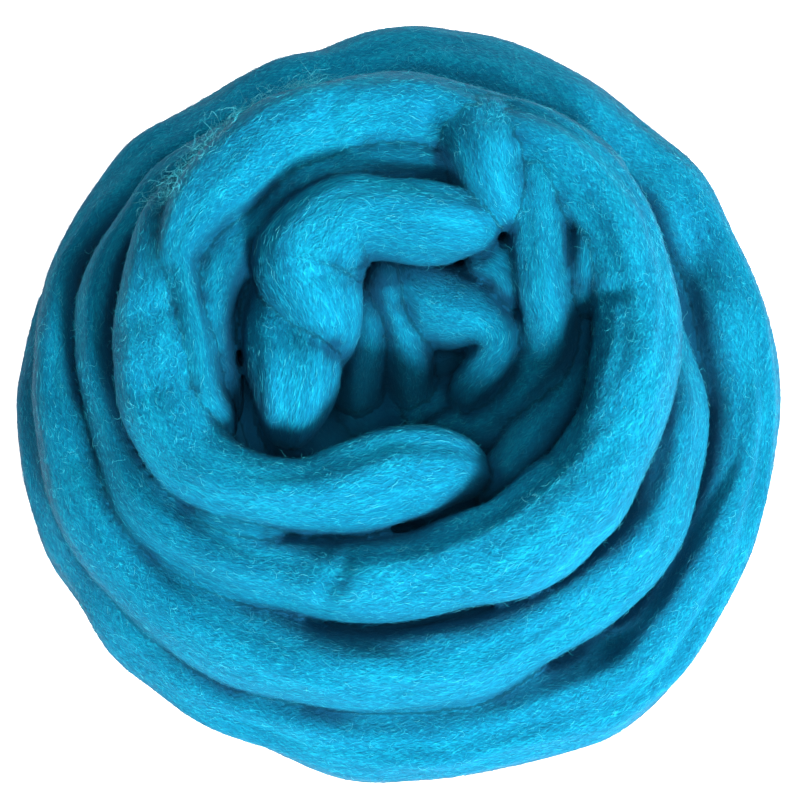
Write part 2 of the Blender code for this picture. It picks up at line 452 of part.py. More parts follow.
def add_strand(shape, rows, seed, closed=False):
    """Rolls a grid of faces round the line through the rows, and closes it into a skin."""
    sections = between(rows, RING_STEP)
    centres = [Vector(s[:3]) for s in sections]
    run = [0.0]
    for a, b in zip(centres, centres[1:]):
        run.append(run[-1] + (b - a).length)
    last = len(sections) - 1
    grid = bmesh.ops.create_grid(shape, x_segments=SIDES, y_segments=last, size=0.5)["verts"]
    for vertex in grid:
        i = round((vertex.co.y + 0.5) * last)
        turn = math.tau * (vertex.co.x + 0.5)
        s = sections[i]
        if closed:
            heading = centres[(i + 1) % last] - centres[(i - 1) % last]
        else:
            heading = centres[min(i + 1, last)] - centres[max(i - 1, 0)]
        side = heading.cross(Vector((0, 0, 1))).normalized()
        up = side.cross(heading).normalized()
        size = 1.0 if closed else tip(run[i], run[-1])
        if not closed:
            size *= 1 + unevenness(run[i], turn, seed) - crease_depth(s, run[i], turn, seed)
        vertex.co = (
            centres[i]
            + side * (0.5 * s.width * plump(math.cos(turn)) * size)
            + up * (0.5 * s.depth * plump(math.sin(turn)) * size)
        )
        vertex.co.z -= pressed(vertex.co)
    bmesh.ops.remove_doubles(shape, verts=shape.verts, dist=POINT_MERGE)


def ring_rows(ring):
    """The rows of a closed round turn."""
    rows = []
    for step in range(RING_ROWS + 1):
        angle = math.tau * step / RING_ROWS
        x, y = ring.radius * math.cos(angle), ring.radius * math.sin(angle)
        rows.append(Section(x, y, ring.z, ring.width, ring.depth, 0, 0))
    return rows


def wool():
    """The dyed wool's plain colour."""
    material = bpy.data.materials.new("dyed_wool")
    material.use_nodes = True
    shader = material.node_tree.nodes["Principled BSDF"]
    shader.inputs["Base Color"].default_value = WOOL_COLOUR
    shader.inputs["Roughness"].default_value = WOOL_ROUGHNESS
    shader.inputs["Metallic"].default_value = 0.0
    return material


def strands():
    """Every strand of the nest: its rows, and whether it is a closed ring."""
    turns = LOWEST_TURN + SECOND_TURN + THIRD_TURN + TOP_TURN
    folds = [
        LEFT_TURN,
        UNDER_FOLD,
        BACK_TURN,
        INNER_LEFT_TURN,
        INNER_RIGHT_TURN,
        INNER_SLOPE,
        CENTRE_FOLD,
        HANGING_FOLD,
        RIGHT_FOLD,
        SMALL_FOLD,
        HOOK_FOLD,
        STEP_FOLD,
        HOLLOW_LEFT,
        HOLLOW_MIDDLE,
        HOLLOW_FLOOR,
    ]
    rings = [(ring_rows(ring), True) for ring in BED_RINGS]
    return [(turns, False)] + [(rows, False) for rows in folds] + rings


def outer_skin(shape):
    """Drops the skins of small gaps shut inside the nest, for wool fills them, and keeps the largest."""
    skins = []
    unseen = set(shape.verts)
    while unseen:
        skin = set()
        edge_of_skin = [unseen.pop()]
        while edge_of_skin:
            vertex = edge_of_skin.pop()
            skin.add(vertex)
            for edge in vertex.link_edges:
                beside = edge.other_vert(vertex)
                if beside in unseen:
                    unseen.remove(beside)
                    edge_of_skin.append(beside)
        skins.append(skin)
    skins.sort(key=len)
    for skin in skins[:-1]:
        bmesh.ops.delete(shape, geom=list(skin), context="VERTS")


def lie_flat(shape):
    """Cuts the nest off level with the table, and fills the flat spots that it lies on."""
    cut = bmesh.ops.bisect_plane(
        shape,
        geom=[*shape.verts, *shape.edges, *shape.faces],
        dist=POINT_MERGE,
        plane_co=(0, 0, 0),
        plane_no=(0, 0, 1),
        clear_inner=True,
    )
    rim = [part for part in cut["geom_cut"] if isinstance(part, bmesh.types.BMEdge)]
    bmesh.ops.triangle_fill(shape, use_beauty=True, use_dissolve=False, edges=rim)


def build_nest(collection):
    """The nest as one body: the strands' skins, fused, thinned, and cut flat at the table."""
    shape = bmesh.new()
    for seed, (rows, closed) in enumerate(strands()):
        add_strand(shape, rows, seed, closed)
    bmesh.ops.recalc_face_normals(shape, faces=shape.faces)
    mesh = bpy.data.meshes.new(NODE)
    shape.to_mesh(mesh)
    shape.free()
    nest = bpy.data.objects.new(NODE, mesh)
    nest.data.materials.append(wool())
    collection.objects.link(nest)

    fuse = nest.modifiers.new("fuse_strands", "REMESH")
    fuse.mode = "VOXEL"
    fuse.voxel_size = VOXEL
    thin = nest.modifiers.new("thin_faces", "DECIMATE")
    thin.ratio = KEEP_FACES
    fused = nest.evaluated_get(bpy.context.evaluated_depsgraph_get())
    shape = bmesh.new()
    shape.from_mesh(fused.data)
    nest.modifiers.clear()
    outer_skin(shape)
    lie_flat(shape)
    bmesh.ops.recalc_face_normals(shape, faces=shape.faces)
    shape.to_mesh(nest.data)
    shape.free()


def new_collection(name):
    collection = bpy.data.collections.new(name)
    bpy.context.scene.collection.children.link(collection)
    return collection


def main():
    for old in list(bpy.data.objects):
        bpy.data.objects.remove(old)
    build_nest(new_collection("wool_roving_nest"))


main()
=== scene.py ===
# %% [markdown]
# # A nest of dyed wool roving
# Roving is one long, soft strand of combed wool with no twist, about as thick as a thumb. It is laid by
# hand round and round into a nest, and its inner end is folded over itself in the middle.
# The lesson builds it the way it is wound: the strand first, then the fibres that lie on it and stand
# off it, then the dye. Everything is in metres, with the table at z = 0 and the front towards -Y.

import math
from collections import namedtuple

import bmesh
import bpy
import numpy as np
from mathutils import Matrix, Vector, noise
from mathutils.bvhtree import BVHTree
from mathutils.interpolate import poly_3d_calc
from mathutils.kdtree import KDTree


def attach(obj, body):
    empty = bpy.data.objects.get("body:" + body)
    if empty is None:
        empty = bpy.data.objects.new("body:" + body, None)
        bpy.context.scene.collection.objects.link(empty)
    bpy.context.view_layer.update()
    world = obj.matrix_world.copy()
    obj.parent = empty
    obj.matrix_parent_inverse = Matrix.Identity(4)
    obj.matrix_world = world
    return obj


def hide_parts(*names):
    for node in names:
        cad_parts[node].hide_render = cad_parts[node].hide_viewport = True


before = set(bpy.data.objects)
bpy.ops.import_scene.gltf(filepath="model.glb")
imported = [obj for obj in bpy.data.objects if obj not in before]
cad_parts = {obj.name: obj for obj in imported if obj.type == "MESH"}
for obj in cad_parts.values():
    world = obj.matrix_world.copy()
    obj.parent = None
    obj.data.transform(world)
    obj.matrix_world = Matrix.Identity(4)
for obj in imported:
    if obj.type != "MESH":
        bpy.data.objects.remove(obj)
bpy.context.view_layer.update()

# %% [markdown]
# ## The winding
# A strand can be drawn as a curve with a bevel, but a bevel is round and even, and roving is neither: it
# is squashed where it lies on itself, it swells and thins, and it folds along its length. So each turn and
# fold is a short table instead. A row is one cross-section: where its middle is, how wide and how deep it
# is, and where its main lengthwise fold lies, in degrees round it. 0 is the strand's right side as it
# runs, which is the outside of a turn, 90 is its top and 180 its left side. The cut is how deep the fold
# goes, as a share of the strand's radius. The rows were worked out and written here by another script,
# from places picked along each turn, so they hold tenths of a millimetre that no hand would choose.
# Rows that are chosen by hand, in whole millimetres, read better and are easier to change.

# %% The turns, row by row
Section = namedtuple("Section", "x y z width depth crease cut")
LOWEST_TURN = [
    Section(-0.1097, 0.0433, 0.011, 0.0116, 0.018, 60, 0.04),
    Section(-0.1126, 0.0293, 0.011, 0.0184, 0.021, 60, 0.06),
    Section(-0.1151, 0.0080, 0.012, 0.0230, 0.024, 60, 0.08),
    Section(-0.1146, -0.0046, 0.013, 0.0269, 0.027, 50, 0.08),
    Section(-0.1113, -0.0243, 0.014, 0.0287, 0.029, 45, 0.08),
    Section(-0.1060, -0.0390, 0.014, 0.0299, 0.029, 40, 0.06),
    Section(-0.1016, -0.0501, 0.014, 0.0305, 0.030, 40, 0.06),
    Section(-0.0927, -0.0631, 0.014, 0.0310, 0.030, 50, 0.06),
    Section(-0.0825, -0.0768, 0.014, 0.0309, 0.030, 50, 0.06),
    Section(-0.0701, -0.0875, 0.014, 0.0308, 0.030, 50, 0.06),
    Section(-0.0552, -0.0977, 0.014, 0.0307, 0.030, 50, 0.06),
    Section(-0.0388, -0.1057, 0.014, 0.0306, 0.030, 50, 0.08),
    Section(-0.0191, -0.1115, 0.014, 0.0306, 0.030, 55, 0.10),
    Section(0.0012, -0.1137, 0.014, 0.0305, 0.030, 60, 0.12),
    Section(0.0198, -0.1129, 0.014, 0.0305, 0.030, 65, 0.12),
    Section(0.0373, -0.1091, 0.014, 0.0306, 0.030, 70, 0.12),
    Section(0.0523, -0.1040, 0.014, 0.0306, 0.030, 70, 0.12),
    Section(0.0638, -0.0996, 0.014, 0.0307, 0.030, 65, 0.14),
    Section(0.0758, -0.0914, 0.014, 0.0301, 0.030, 60, 0.18),
    Section(0.0878, -0.0778, 0.014, 0.0289, 0.030, 57, 0.22),
    Section(0.0987, -0.0607, 0.014, 0.0277, 0.030, 57, 0.24),
    Section(0.1069, -0.0433, 0.014, 0.0265, 0.030, 57, 0.24),
    Section(0.1125, -0.0290, 0.014, 0.0253, 0.030, 57, 0.24),
    Section(0.1151, -0.0123, 0.014, 0.0254, 0.030, 57, 0.22),
    Section(0.1149, 0.0014, 0.014, 0.0262, 0.030, 57, 0.20),
    Section(0.1132, 0.0135, 0.014, 0.0277, 0.030, 60, 0.16),
    Section(0.1094, 0.0302, 0.014, 0.0285, 0.030, 60, 0.12),
    Section(0.1043, 0.0457, 0.014, 0.0279, 0.030, 70, 0.08),
    Section(0.0929, 0.0660, 0.014, 0.0288, 0.030, 85, 0.08),
    Section(0.0810, 0.0777, 0.014, 0.0295, 0.030, 90, 0.10),
    Section(0.0605, 0.0928, 0.014, 0.0324, 0.030, 90, 0.08),
    Section(0.0453, 0.1014, 0.014, 0.0332, 0.030, 80, 0.06),
    Section(0.0301, 0.1082, 0.014, 0.0326, 0.029, 70, 0.06),
    Section(0.0164, 0.1125, 0.014, 0.0319, 0.029, 70, 0.06),
    Section(0.0064, 0.1143, 0.014, 0.0319, 0.029, 70, 0.06),
    Section(-0.0054, 0.1120, 0.014, 0.0312, 0.028, 70, 0.06),
    Section(-0.0210, 0.1062, 0.014, 0.0305, 0.028, 70, 0.05),
    Section(-0.0349, 0.1036, 0.014, 0.0298, 0.028, 70, 0.05),
    Section(-0.0466, 0.0990, 0.014, 0.0290, 0.027, 70, 0.05),
    Section(-0.0613, 0.0908, 0.015, 0.0275, 0.027, 70, 0.05),
    Section(-0.0732, 0.0829, 0.016, 0.0268, 0.026, 70, 0.05),
    Section(-0.0829, 0.0765, 0.017, 0.0246, 0.026, 70, 0.05),
    Section(-0.0957, 0.0616, 0.020, 0.0197, 0.026, 70, 0.05),
    Section(-0.1066, 0.0456, 0.023, 0.0141, 0.026, 70, 0.05),
]
SECOND_TURN = [
    Section(-0.1110, 0.0342, 0.026, 0.0134, 0.025, 60, 0.04),
    Section(-0.1117, 0.0209, 0.028, 0.0156, 0.026, 60, 0.04),
    Section(-0.1112, 0.0067, 0.030, 0.0168, 0.026, 80, 0.06),
    Section(-0.1106, -0.0063, 0.032, 0.0177, 0.027, 90, 0.10),
    Section(-0.1066, -0.0184, 0.033, 0.0215, 0.028, 95, 0.12),
    Section(-0.1023, -0.0299, 0.033, 0.0246, 0.028, 95, 0.12),
    Section(-0.0963, -0.0422, 0.034, 0.0271, 0.029, 100, 0.10),
    Section(-0.0880, -0.0550, 0.034, 0.0270, 0.029, 110, 0.10),
    Section(-0.0776, -0.0680, 0.034, 0.0269, 0.030, 110, 0.10),
    Section(-0.0684, -0.0757, 0.034, 0.0268, 0.030, 110, 0.10),
    Section(-0.0557, -0.0827, 0.034, 0.0268, 0.030, 110, 0.08),
    Section(-0.0413, -0.0887, 0.034, 0.0267, 0.030, 110, 0.08),
    Section(-0.0271, -0.0921, 0.034, 0.0267, 0.030, 90, 0.08),
    Section(-0.0127, -0.0941, 0.034, 0.0267, 0.030, 60, 0.10),
    Section(-0.0004, -0.0941, 0.034, 0.0267, 0.030, 50, 0.12),
    Section(0.0137, -0.0925, 0.034, 0.0261, 0.030, 45, 0.12),
    Section(0.0275, -0.0884, 0.034, 0.0261, 0.030, 40, 0.12),
    Section(0.0422, -0.0811, 0.034, 0.0255, 0.030, 40, 0.12),
    Section(0.0542, -0.0740, 0.034, 0.0249, 0.030, 45, 0.12),
    Section(0.0663, -0.0651, 0.034, 0.0244, 0.029, 50, 0.08),
    Section(0.0742, -0.0579, 0.034, 0.0238, 0.029, 50, 0.08),
    Section(0.0805, -0.0487, 0.033, 0.0232, 0.028, 60, 0.08),
    Section(0.0849, -0.0382, 0.033, 0.0226, 0.028, 60, 0.08),
    Section(0.0886, -0.0263, 0.032, 0.0221, 0.028, 60, 0.06),
    Section(0.0896, -0.0168, 0.032, 0.0222, 0.028, 60, 0.06),
    Section(0.0890, -0.0071, 0.031, 0.0223, 0.027, 60, 0.06),
    Section(0.0860, 0.0038, 0.030, 0.0224, 0.027, 60, 0.06),
    Section(0.0820, 0.0190, 0.029, 0.0225, 0.026, 60, 0.05),
    Section(0.0756, 0.0383, 0.029, 0.0226, 0.026, 60, 0.05),
    Section(0.0653, 0.0570, 0.029, 0.0228, 0.026, 60, 0.05),
    Section(0.0511, 0.0717, 0.029, 0.0235, 0.026, 60, 0.05),
    Section(0.0306, 0.0818, 0.029, 0.0236, 0.026, 60, 0.05),
    Section(0.0096, 0.0858, 0.030, 0.0236, 0.026, 60, 0.05),
    Section(-0.0156, 0.0858, 0.031, 0.0229, 0.026, 60, 0.05),
    Section(-0.0356, 0.0836, 0.033, 0.0215, 0.026, 60, 0.05),
    Section(-0.0524, 0.0779, 0.035, 0.0187, 0.026, 60, 0.06),
    Section(-0.0671, 0.0700, 0.038, 0.0159, 0.026, 70, 0.08),
    Section(-0.0769, 0.0623, 0.040, 0.0139, 0.025, 80, 0.08),
    Section(-0.0844, 0.0522, 0.041, 0.0125, 0.025, 90, 0.08),
    Section(-0.0910, 0.0420, 0.042, 0.0124, 0.024, 90, 0.06),
    Section(-0.0947, 0.0337, 0.042, 0.0134, 0.024, 90, 0.06),
    Section(-0.0968, 0.0234, 0.042, 0.0143, 0.024, 90, 0.06),
    Section(-0.0973, 0.0108, 0.042, 0.0136, 0.024, 90, 0.06),
]
THIRD_TURN = [
    Section(-0.0967, 0.0018, 0.043, 0.0136, 0.024, 90, 0.06),
    Section(-0.0938, -0.0100, 0.043, 0.0135, 0.024, 90, 0.06),
    Section(-0.0902, -0.0221, 0.044, 0.0141, 0.024, 90, 0.08),
    Section(-0.0855, -0.0332, 0.045, 0.0166, 0.025, 95, 0.08),
    Section(-0.0796, -0.0431, 0.046, 0.0190, 0.026, 100, 0.08),
    Section(-0.0711, -0.0506, 0.047, 0.0208, 0.027, 110, 0.10),
    Section(-0.0580, -0.0589, 0.048, 0.0214, 0.028, 110, 0.10),
    Section(-0.0467, -0.0632, 0.049, 0.0213, 0.028, 110, 0.10),
    Section(-0.0329, -0.0650, 0.049, 0.0226, 0.028, 100, 0.08),
    Section(-0.0205, -0.0679, 0.050, 0.0244, 0.029, 100, 0.04),
    Section(-0.0102, -0.0680, 0.052, 0.0268, 0.030, 120, 0.08),
    Section(0.0061, -0.0666, 0.053, 0.0280, 0.031, 120, 0.12),
    Section(0.0165, -0.0644, 0.054, 0.0293, 0.031, 125, 0.12),
    Section(0.0284, -0.0613, 0.055, 0.0305, 0.031, 130, 0.12),
    Section(0.0374, -0.0568, 0.056, 0.0311, 0.031, 130, 0.12),
    Section(0.0506, -0.0466, 0.056, 0.0312, 0.032, 130, 0.10),
    Section(0.0583, -0.0406, 0.056, 0.0306, 0.032, 130, 0.08),
    Section(0.0658, -0.0271, 0.056, 0.0295, 0.032, 110, 0.06),
    Section(0.0712, -0.0165, 0.057, 0.0283, 0.032, 90, 0.06),
    Section(0.0744, -0.0049, 0.057, 0.0278, 0.032, 70, 0.08),
    Section(0.0761, 0.0080, 0.057, 0.0273, 0.032, 60, 0.10),
    Section(0.0760, 0.0183, 0.058, 0.0273, 0.032, 55, 0.12),
    Section(0.0733, 0.0319, 0.059, 0.0267, 0.032, 55, 0.16),
    Section(0.0672, 0.0461, 0.060, 0.0268, 0.032, 55, 0.18),
    Section(0.0560, 0.0611, 0.061, 0.0269, 0.031, 60, 0.18),
    Section(0.0434, 0.0705, 0.061, 0.0263, 0.031, 60, 0.16),
    Section(0.0283, 0.0762, 0.062, 0.0257, 0.030, 60, 0.14),
]
TOP_TURN = [
    Section(0.0154, 0.0791, 0.063, 0.0251, 0.030, 50, 0.10),
    Section(0.0004, 0.0800, 0.065, 0.0250, 0.029, 40, 0.06),
    Section(-0.0137, 0.0784, 0.067, 0.0249, 0.029, 60, 0.06),
    Section(-0.0279, 0.0737, 0.068, 0.0274, 0.030, 100, 0.08),
    Section(-0.0388, 0.0693, 0.068, 0.0293, 0.030, 110, 0.10),
    Section(-0.0483, 0.0624, 0.067, 0.0286, 0.030, 115, 0.10),
    Section(-0.0566, 0.0545, 0.066, 0.0254, 0.029, 115, 0.06),
    Section(-0.0637, 0.0451, 0.065, 0.0203, 0.028, 100, 0.04),
    Section(-0.0687, 0.0345, 0.064, 0.0152, 0.027, 90, 0.04),
    Section(-0.0684, 0.0264, 0.063, 0.0133, 0.025, 90, 0.03),
    Section(-0.0654, 0.0149, 0.063, 0.0120, 0.024, 90, 0.02),
    Section(-0.0623, 0.0025, 0.062, 0.0113, 0.024, 90, 0.02),
    Section(-0.0611, -0.0088, 0.060, 0.0113, 0.024, 90, 0.02),
    Section(-0.0577, -0.0165, 0.056, 0.0126, 0.022, 90, 0.00),
    Section(-0.0528, -0.0232, 0.051, 0.0120, 0.018, 90, 0.00),
]
LEFT_TURN = [
    Section(-0.0704, 0.0646, 0.040, 0.0079, 0.018, 90, 0.00),
    Section(-0.0752, 0.0526, 0.049, 0.0104, 0.022, 90, 0.06),
    Section(-0.0775, 0.0430, 0.055, 0.0135, 0.025, 90, 0.08),
    Section(-0.0777, 0.0305, 0.059, 0.0185, 0.027, 80, 0.08),
    Section(-0.0769, 0.0208, 0.060, 0.0234, 0.028, 80, 0.08),
    Section(-0.0759, 0.0110, 0.060, 0.0278, 0.028, 85, 0.06),
    Section(-0.0750, 0.0026, 0.060, 0.0303, 0.029, 85, 0.06),
    Section(-0.0743, -0.0059, 0.060, 0.0308, 0.029, 85, 0.06),
    Section(-0.0729, -0.0139, 0.060, 0.0295, 0.029, 85, 0.08),
    Section(-0.0694, -0.0212, 0.060, 0.0275, 0.029, 90, 0.06),
    Section(-0.0631, -0.0310, 0.060, 0.0256, 0.029, 95, 0.06),
    Section(-0.0554, -0.0370, 0.061, 0.0236, 0.029, 100, 0.08),
    Section(-0.0437, -0.0410, 0.061, 0.0217, 0.029, 100, 0.08),
    Section(-0.0287, -0.0426, 0.062, 0.0235, 0.030, 110, 0.08),
    Section(-0.0180, -0.0414, 0.063, 0.0291, 0.030, 115, 0.10),
    Section(-0.0098, -0.0396, 0.063, 0.0303, 0.030, 115, 0.12),
    Section(-0.0013, -0.0362, 0.061, 0.0298, 0.030, 110, 0.12),
    Section(0.0067, -0.0343, 0.058, 0.0275, 0.029, 100, 0.10),
    Section(0.0137, -0.0331, 0.052, 0.0233, 0.027, 95, 0.08),
    Section(0.0201, -0.0333, 0.044, 0.0172, 0.023, 95, 0.04),
    Section(0.0252, -0.0347, 0.036, 0.0097, 0.016, 95, 0.00),
]
UNDER_FOLD = [
    Section(-0.0661, -0.0438, 0.051, 0.0057, 0.014, 90, 0.00),
    Section(-0.0582, -0.0481, 0.054, 0.0078, 0.018, 90, 0.00),
    Section(-0.0500, -0.0514, 0.055, 0.0087, 0.020, 90, 0.00),
    Section(-0.0419, -0.0535, 0.054, 0.0075, 0.018, 90, 0.00),
    Section(-0.0340, -0.0540, 0.049, 0.0044, 0.014, 90, 0.00),
]
BACK_TURN = [
    Section(0.0712, 0.0533, 0.042, 0.0230, 0.026, 90, 0.00),
    Section(0.0582, 0.0678, 0.043, 0.0257, 0.028, 90, 0.04),
    Section(0.0402, 0.0768, 0.044, 0.0264, 0.030, 90, 0.04),
    Section(0.0204, 0.0809, 0.045, 0.0264, 0.030, 90, 0.04),
    Section(0.0006, 0.0820, 0.046, 0.0263, 0.030, 90, 0.04),
    Section(-0.0191, 0.0813, 0.046, 0.0263, 0.030, 90, 0.04),
    Section(-0.0372, 0.0754, 0.046, 0.0263, 0.030, 90, 0.04),
    Section(-0.0518, 0.0641, 0.046, 0.0255, 0.030, 90, 0.04),
    Section(-0.0621, 0.0490, 0.045, 0.0248, 0.030, 90, 0.04),
    Section(-0.0677, 0.0307, 0.044, 0.0247, 0.030, 90, 0.04),
    Section(-0.0699, 0.0109, 0.043, 0.0227, 0.026, 90, 0.00),
]
INNER_LEFT_TURN = [
    Section(0.0174, 0.0612, 0.055, 0.0071, 0.016, 90, 0.00),
    Section(0.0128, 0.0616, 0.060, 0.0122, 0.022, 90, 0.04),
    Section(0.0006, 0.0626, 0.063, 0.0141, 0.024, 90, 0.08),
    Section(-0.0147, 0.0622, 0.063, 0.0160, 0.026, 90, 0.12),
    Section(-0.0288, 0.0576, 0.062, 0.0166, 0.026, 90, 0.10),
    Section(-0.0409, 0.0502, 0.060, 0.0166, 0.026, 90, 0.10),
    Section(-0.0505, 0.0401, 0.058, 0.0173, 0.026, 90, 0.08),
    Section(-0.0571, 0.0272, 0.057, 0.0166, 0.026, 90, 0.06),
    Section(-0.0592, 0.0143, 0.056, 0.0146, 0.026, 90, 0.06),
    Section(-0.0580, 0.0036, 0.053, 0.0121, 0.025, 90, 0.04),
    Section(-0.0560, -0.0051, 0.048, 0.0122, 0.023, 90, 0.02),
    Section(-0.0554, -0.0127, 0.042, 0.0109, 0.020, 90, 0.00),
    Section(-0.0571, -0.0181, 0.036, 0.0071, 0.016, 90, 0.00),
]
INNER_RIGHT_TURN = [
    Section(0.0380, 0.0826, 0.050, 0.0144, 0.016, 90, 0.00),
    Section(0.0385, 0.0751, 0.056, 0.0207, 0.025, 90, 0.02),
    Section(0.0399, 0.0679, 0.059, 0.0200, 0.027, 90, 0.06),
    Section(0.0429, 0.0569, 0.060, 0.0173, 0.028, 95, 0.08),
    Section(0.0445, 0.0478, 0.059, 0.0179, 0.028, 100, 0.08),
    Section(0.0450, 0.0381, 0.058, 0.0185, 0.028, 105, 0.08),
    Section(0.0463, 0.0271, 0.055, 0.0198, 0.028, 110, 0.08),
    Section(0.0487, 0.0182, 0.047, 0.0194, 0.028, 110, 0.10),
    Section(0.0492, 0.0094, 0.038, 0.0189, 0.027, 110, 0.10),
    Section(0.0446, -0.0004, 0.031, 0.0184, 0.026, 100, 0.08),
    Section(0.0359, -0.0101, 0.026, 0.0178, 0.025, 100, 0.08),
    Section(0.0221, -0.0160, 0.022, 0.0185, 0.024, 100, 0.06),
    Section(0.0073, -0.0176, 0.020, 0.0166, 0.022, 90, 0.04),
]
INNER_SLOPE = [
    Section(0.0637, 0.0324, 0.044, 0.0130, 0.018, 90, 0.00),
    Section(0.0632, 0.0200, 0.040, 0.0183, 0.024, 90, 0.04),
    Section(0.0621, 0.0078, 0.035, 0.0203, 0.026, 90, 0.04),
    Section(0.0590, -0.0031, 0.031, 0.0210, 0.026, 90, 0.04),
    Section(0.0530, -0.0129, 0.030, 0.0223, 0.026, 90, 0.04),
    Section(0.0440, -0.0231, 0.031, 0.0215, 0.026, 90, 0.04),
    Section(0.0350, -0.0333, 0.033, 0.0188, 0.024, 90, 0.04),
    Section(0.0258, -0.0417, 0.034, 0.0142, 0.020, 90, 0.00),
]
CENTRE_FOLD = [
    Section(-0.0233, -0.0008, 0.042, 0.0058, 0.014, 90, 0.00),
    Section(-0.0224, 0.0046, 0.050, 0.0134, 0.020, 90, 0.00),
    Section(-0.0222, 0.0105, 0.058, 0.0196, 0.025, 90, 0.00),
    Section(-0.0246, 0.0175, 0.064, 0.0264, 0.029, 90, 0.02),
    Section(-0.0274, 0.0244, 0.066, 0.0333, 0.031, 70, 0.03),
    Section(-0.0274, 0.0310, 0.067, 0.0365, 0.031, 60, 0.04),
    Section(-0.0227, 0.0376, 0.069, 0.0333, 0.031, 50, 0.04),
    Section(-0.0145, 0.0435, 0.070, 0.0283, 0.031, 60, 0.05),
    Section(-0.0041, 0.0435, 0.070, 0.0245, 0.031, 75, 0.06),
    Section(0.0053, 0.0428, 0.069, 0.0252, 0.031, 72, 0.12),
    Section(0.0132, 0.0424, 0.067, 0.0234, 0.030, 66, 0.12),
    Section(0.0197, 0.0423, 0.063, 0.0191, 0.027, 60, 0.10),
    Section(0.0243, 0.0421, 0.058, 0.0128, 0.021, 60, 0.06),
    Section(0.0268, 0.0422, 0.052, 0.0058, 0.014, 95, 0.00),
]
HANGING_FOLD = [
    Section(-0.0352, 0.0381, 0.044, 0.0163, 0.020, 90, 0.00),
    Section(-0.0362, 0.0283, 0.048, 0.0239, 0.024, 90, 0.00),
    Section(-0.0356, 0.0189, 0.051, 0.0282, 0.027, 90, 0.03),
    Section(-0.0344, 0.0096, 0.055, 0.0305, 0.029, 90, 0.04),
    Section(-0.0331, 0.0005, 0.059, 0.0322, 0.030, 90, 0.04),
    Section(-0.0327, -0.0074, 0.060, 0.0302, 0.030, 90, 0.04),
    Section(-0.0333, -0.0138, 0.058, 0.0258, 0.028, 90, 0.04),
    Section(-0.0342, -0.0185, 0.053, 0.0190, 0.024, 90, 0.03),
    Section(-0.0351, -0.0220, 0.046, 0.0102, 0.016, 90, 0.00),
]
RIGHT_FOLD = [
    Section(0.0000, 0.0420, 0.040, 0.0098, 0.018, 90, 0.00),
    Section(0.0019, 0.0356, 0.041, 0.0164, 0.024, 90, 0.04),
    Section(0.0065, 0.0282, 0.041, 0.0241, 0.028, 90, 0.04),
    Section(0.0137, 0.0237, 0.040, 0.0287, 0.030, 80, 0.04),
    Section(0.0221, 0.0203, 0.040, 0.0254, 0.028, 80, 0.04),
    Section(0.0293, 0.0163, 0.040, 0.0189, 0.024, 80, 0.04),
    Section(0.0328, 0.0102, 0.039, 0.0156, 0.022, 80, 0.04),
    Section(0.0297, 0.0035, 0.036, 0.0157, 0.022, 90, 0.06),
    Section(0.0246, -0.0022, 0.030, 0.0151, 0.020, 90, 0.04),
    Section(0.0202, -0.0074, 0.023, 0.0126, 0.018, 90, 0.00),
]
SMALL_FOLD = [
    Section(0.0208, 0.0389, 0.046, 0.0085, 0.016, 90, 0.00),
    Section(0.0275, 0.0367, 0.048, 0.0136, 0.020, 90, 0.04),
    Section(0.0335, 0.0331, 0.050, 0.0136, 0.022, 90, 0.06),
    Section(0.0371, 0.0283, 0.048, 0.0116, 0.020, 90, 0.04),
    Section(0.0377, 0.0245, 0.042, 0.0078, 0.016, 90, 0.00),
]
HOOK_FOLD = [
    Section(0.0242, 0.0838, 0.061, 0.0297, 0.018, 90, 0.00),
    Section(0.0243, 0.0773, 0.065, 0.0314, 0.023, 90, 0.00),
    Section(0.0249, 0.0703, 0.066, 0.0281, 0.026, 80, 0.00),
    Section(0.0264, 0.0639, 0.067, 0.0248, 0.028, 80, 0.03),
    Section(0.0283, 0.0573, 0.066, 0.0222, 0.028, 80, 0.04),
    Section(0.0306, 0.0526, 0.063, 0.0198, 0.027, 80, 0.03),
    Section(0.0326, 0.0499, 0.060, 0.0160, 0.023, 80, 0.00),
    Section(0.0338, 0.0490, 0.054, 0.0097, 0.016, 80, 0.00),
]
STEP_FOLD = [
    Section(0.0664, 0.0628, 0.050, 0.0182, 0.020, 90, 0.00),
    Section(0.0638, 0.0511, 0.055, 0.0180, 0.024, 90, 0.02),
    Section(0.0620, 0.0401, 0.058, 0.0160, 0.025, 90, 0.00),
    Section(0.0610, 0.0318, 0.057, 0.0141, 0.024, 90, 0.00),
    Section(0.0607, 0.0255, 0.051, 0.0122, 0.022, 90, 0.00),
    Section(0.0610, 0.0209, 0.043, 0.0071, 0.016, 90, 0.00),
]
HOLLOW_LEFT = [
    Section(-0.0155, 0.0274, 0.050, 0.0129, 0.018, 90, 0.00),
    Section(-0.0136, 0.0207, 0.044, 0.0182, 0.022, 90, 0.04),
    Section(-0.0131, 0.0134, 0.038, 0.0202, 0.024, 90, 0.06),
    Section(-0.0132, 0.0064, 0.031, 0.0184, 0.022, 90, 0.06),
    Section(-0.0136, -0.0006, 0.023, 0.0173, 0.020, 90, 0.04),
    Section(-0.0134, -0.0076, 0.014, 0.0114, 0.014, 90, 0.00),
]
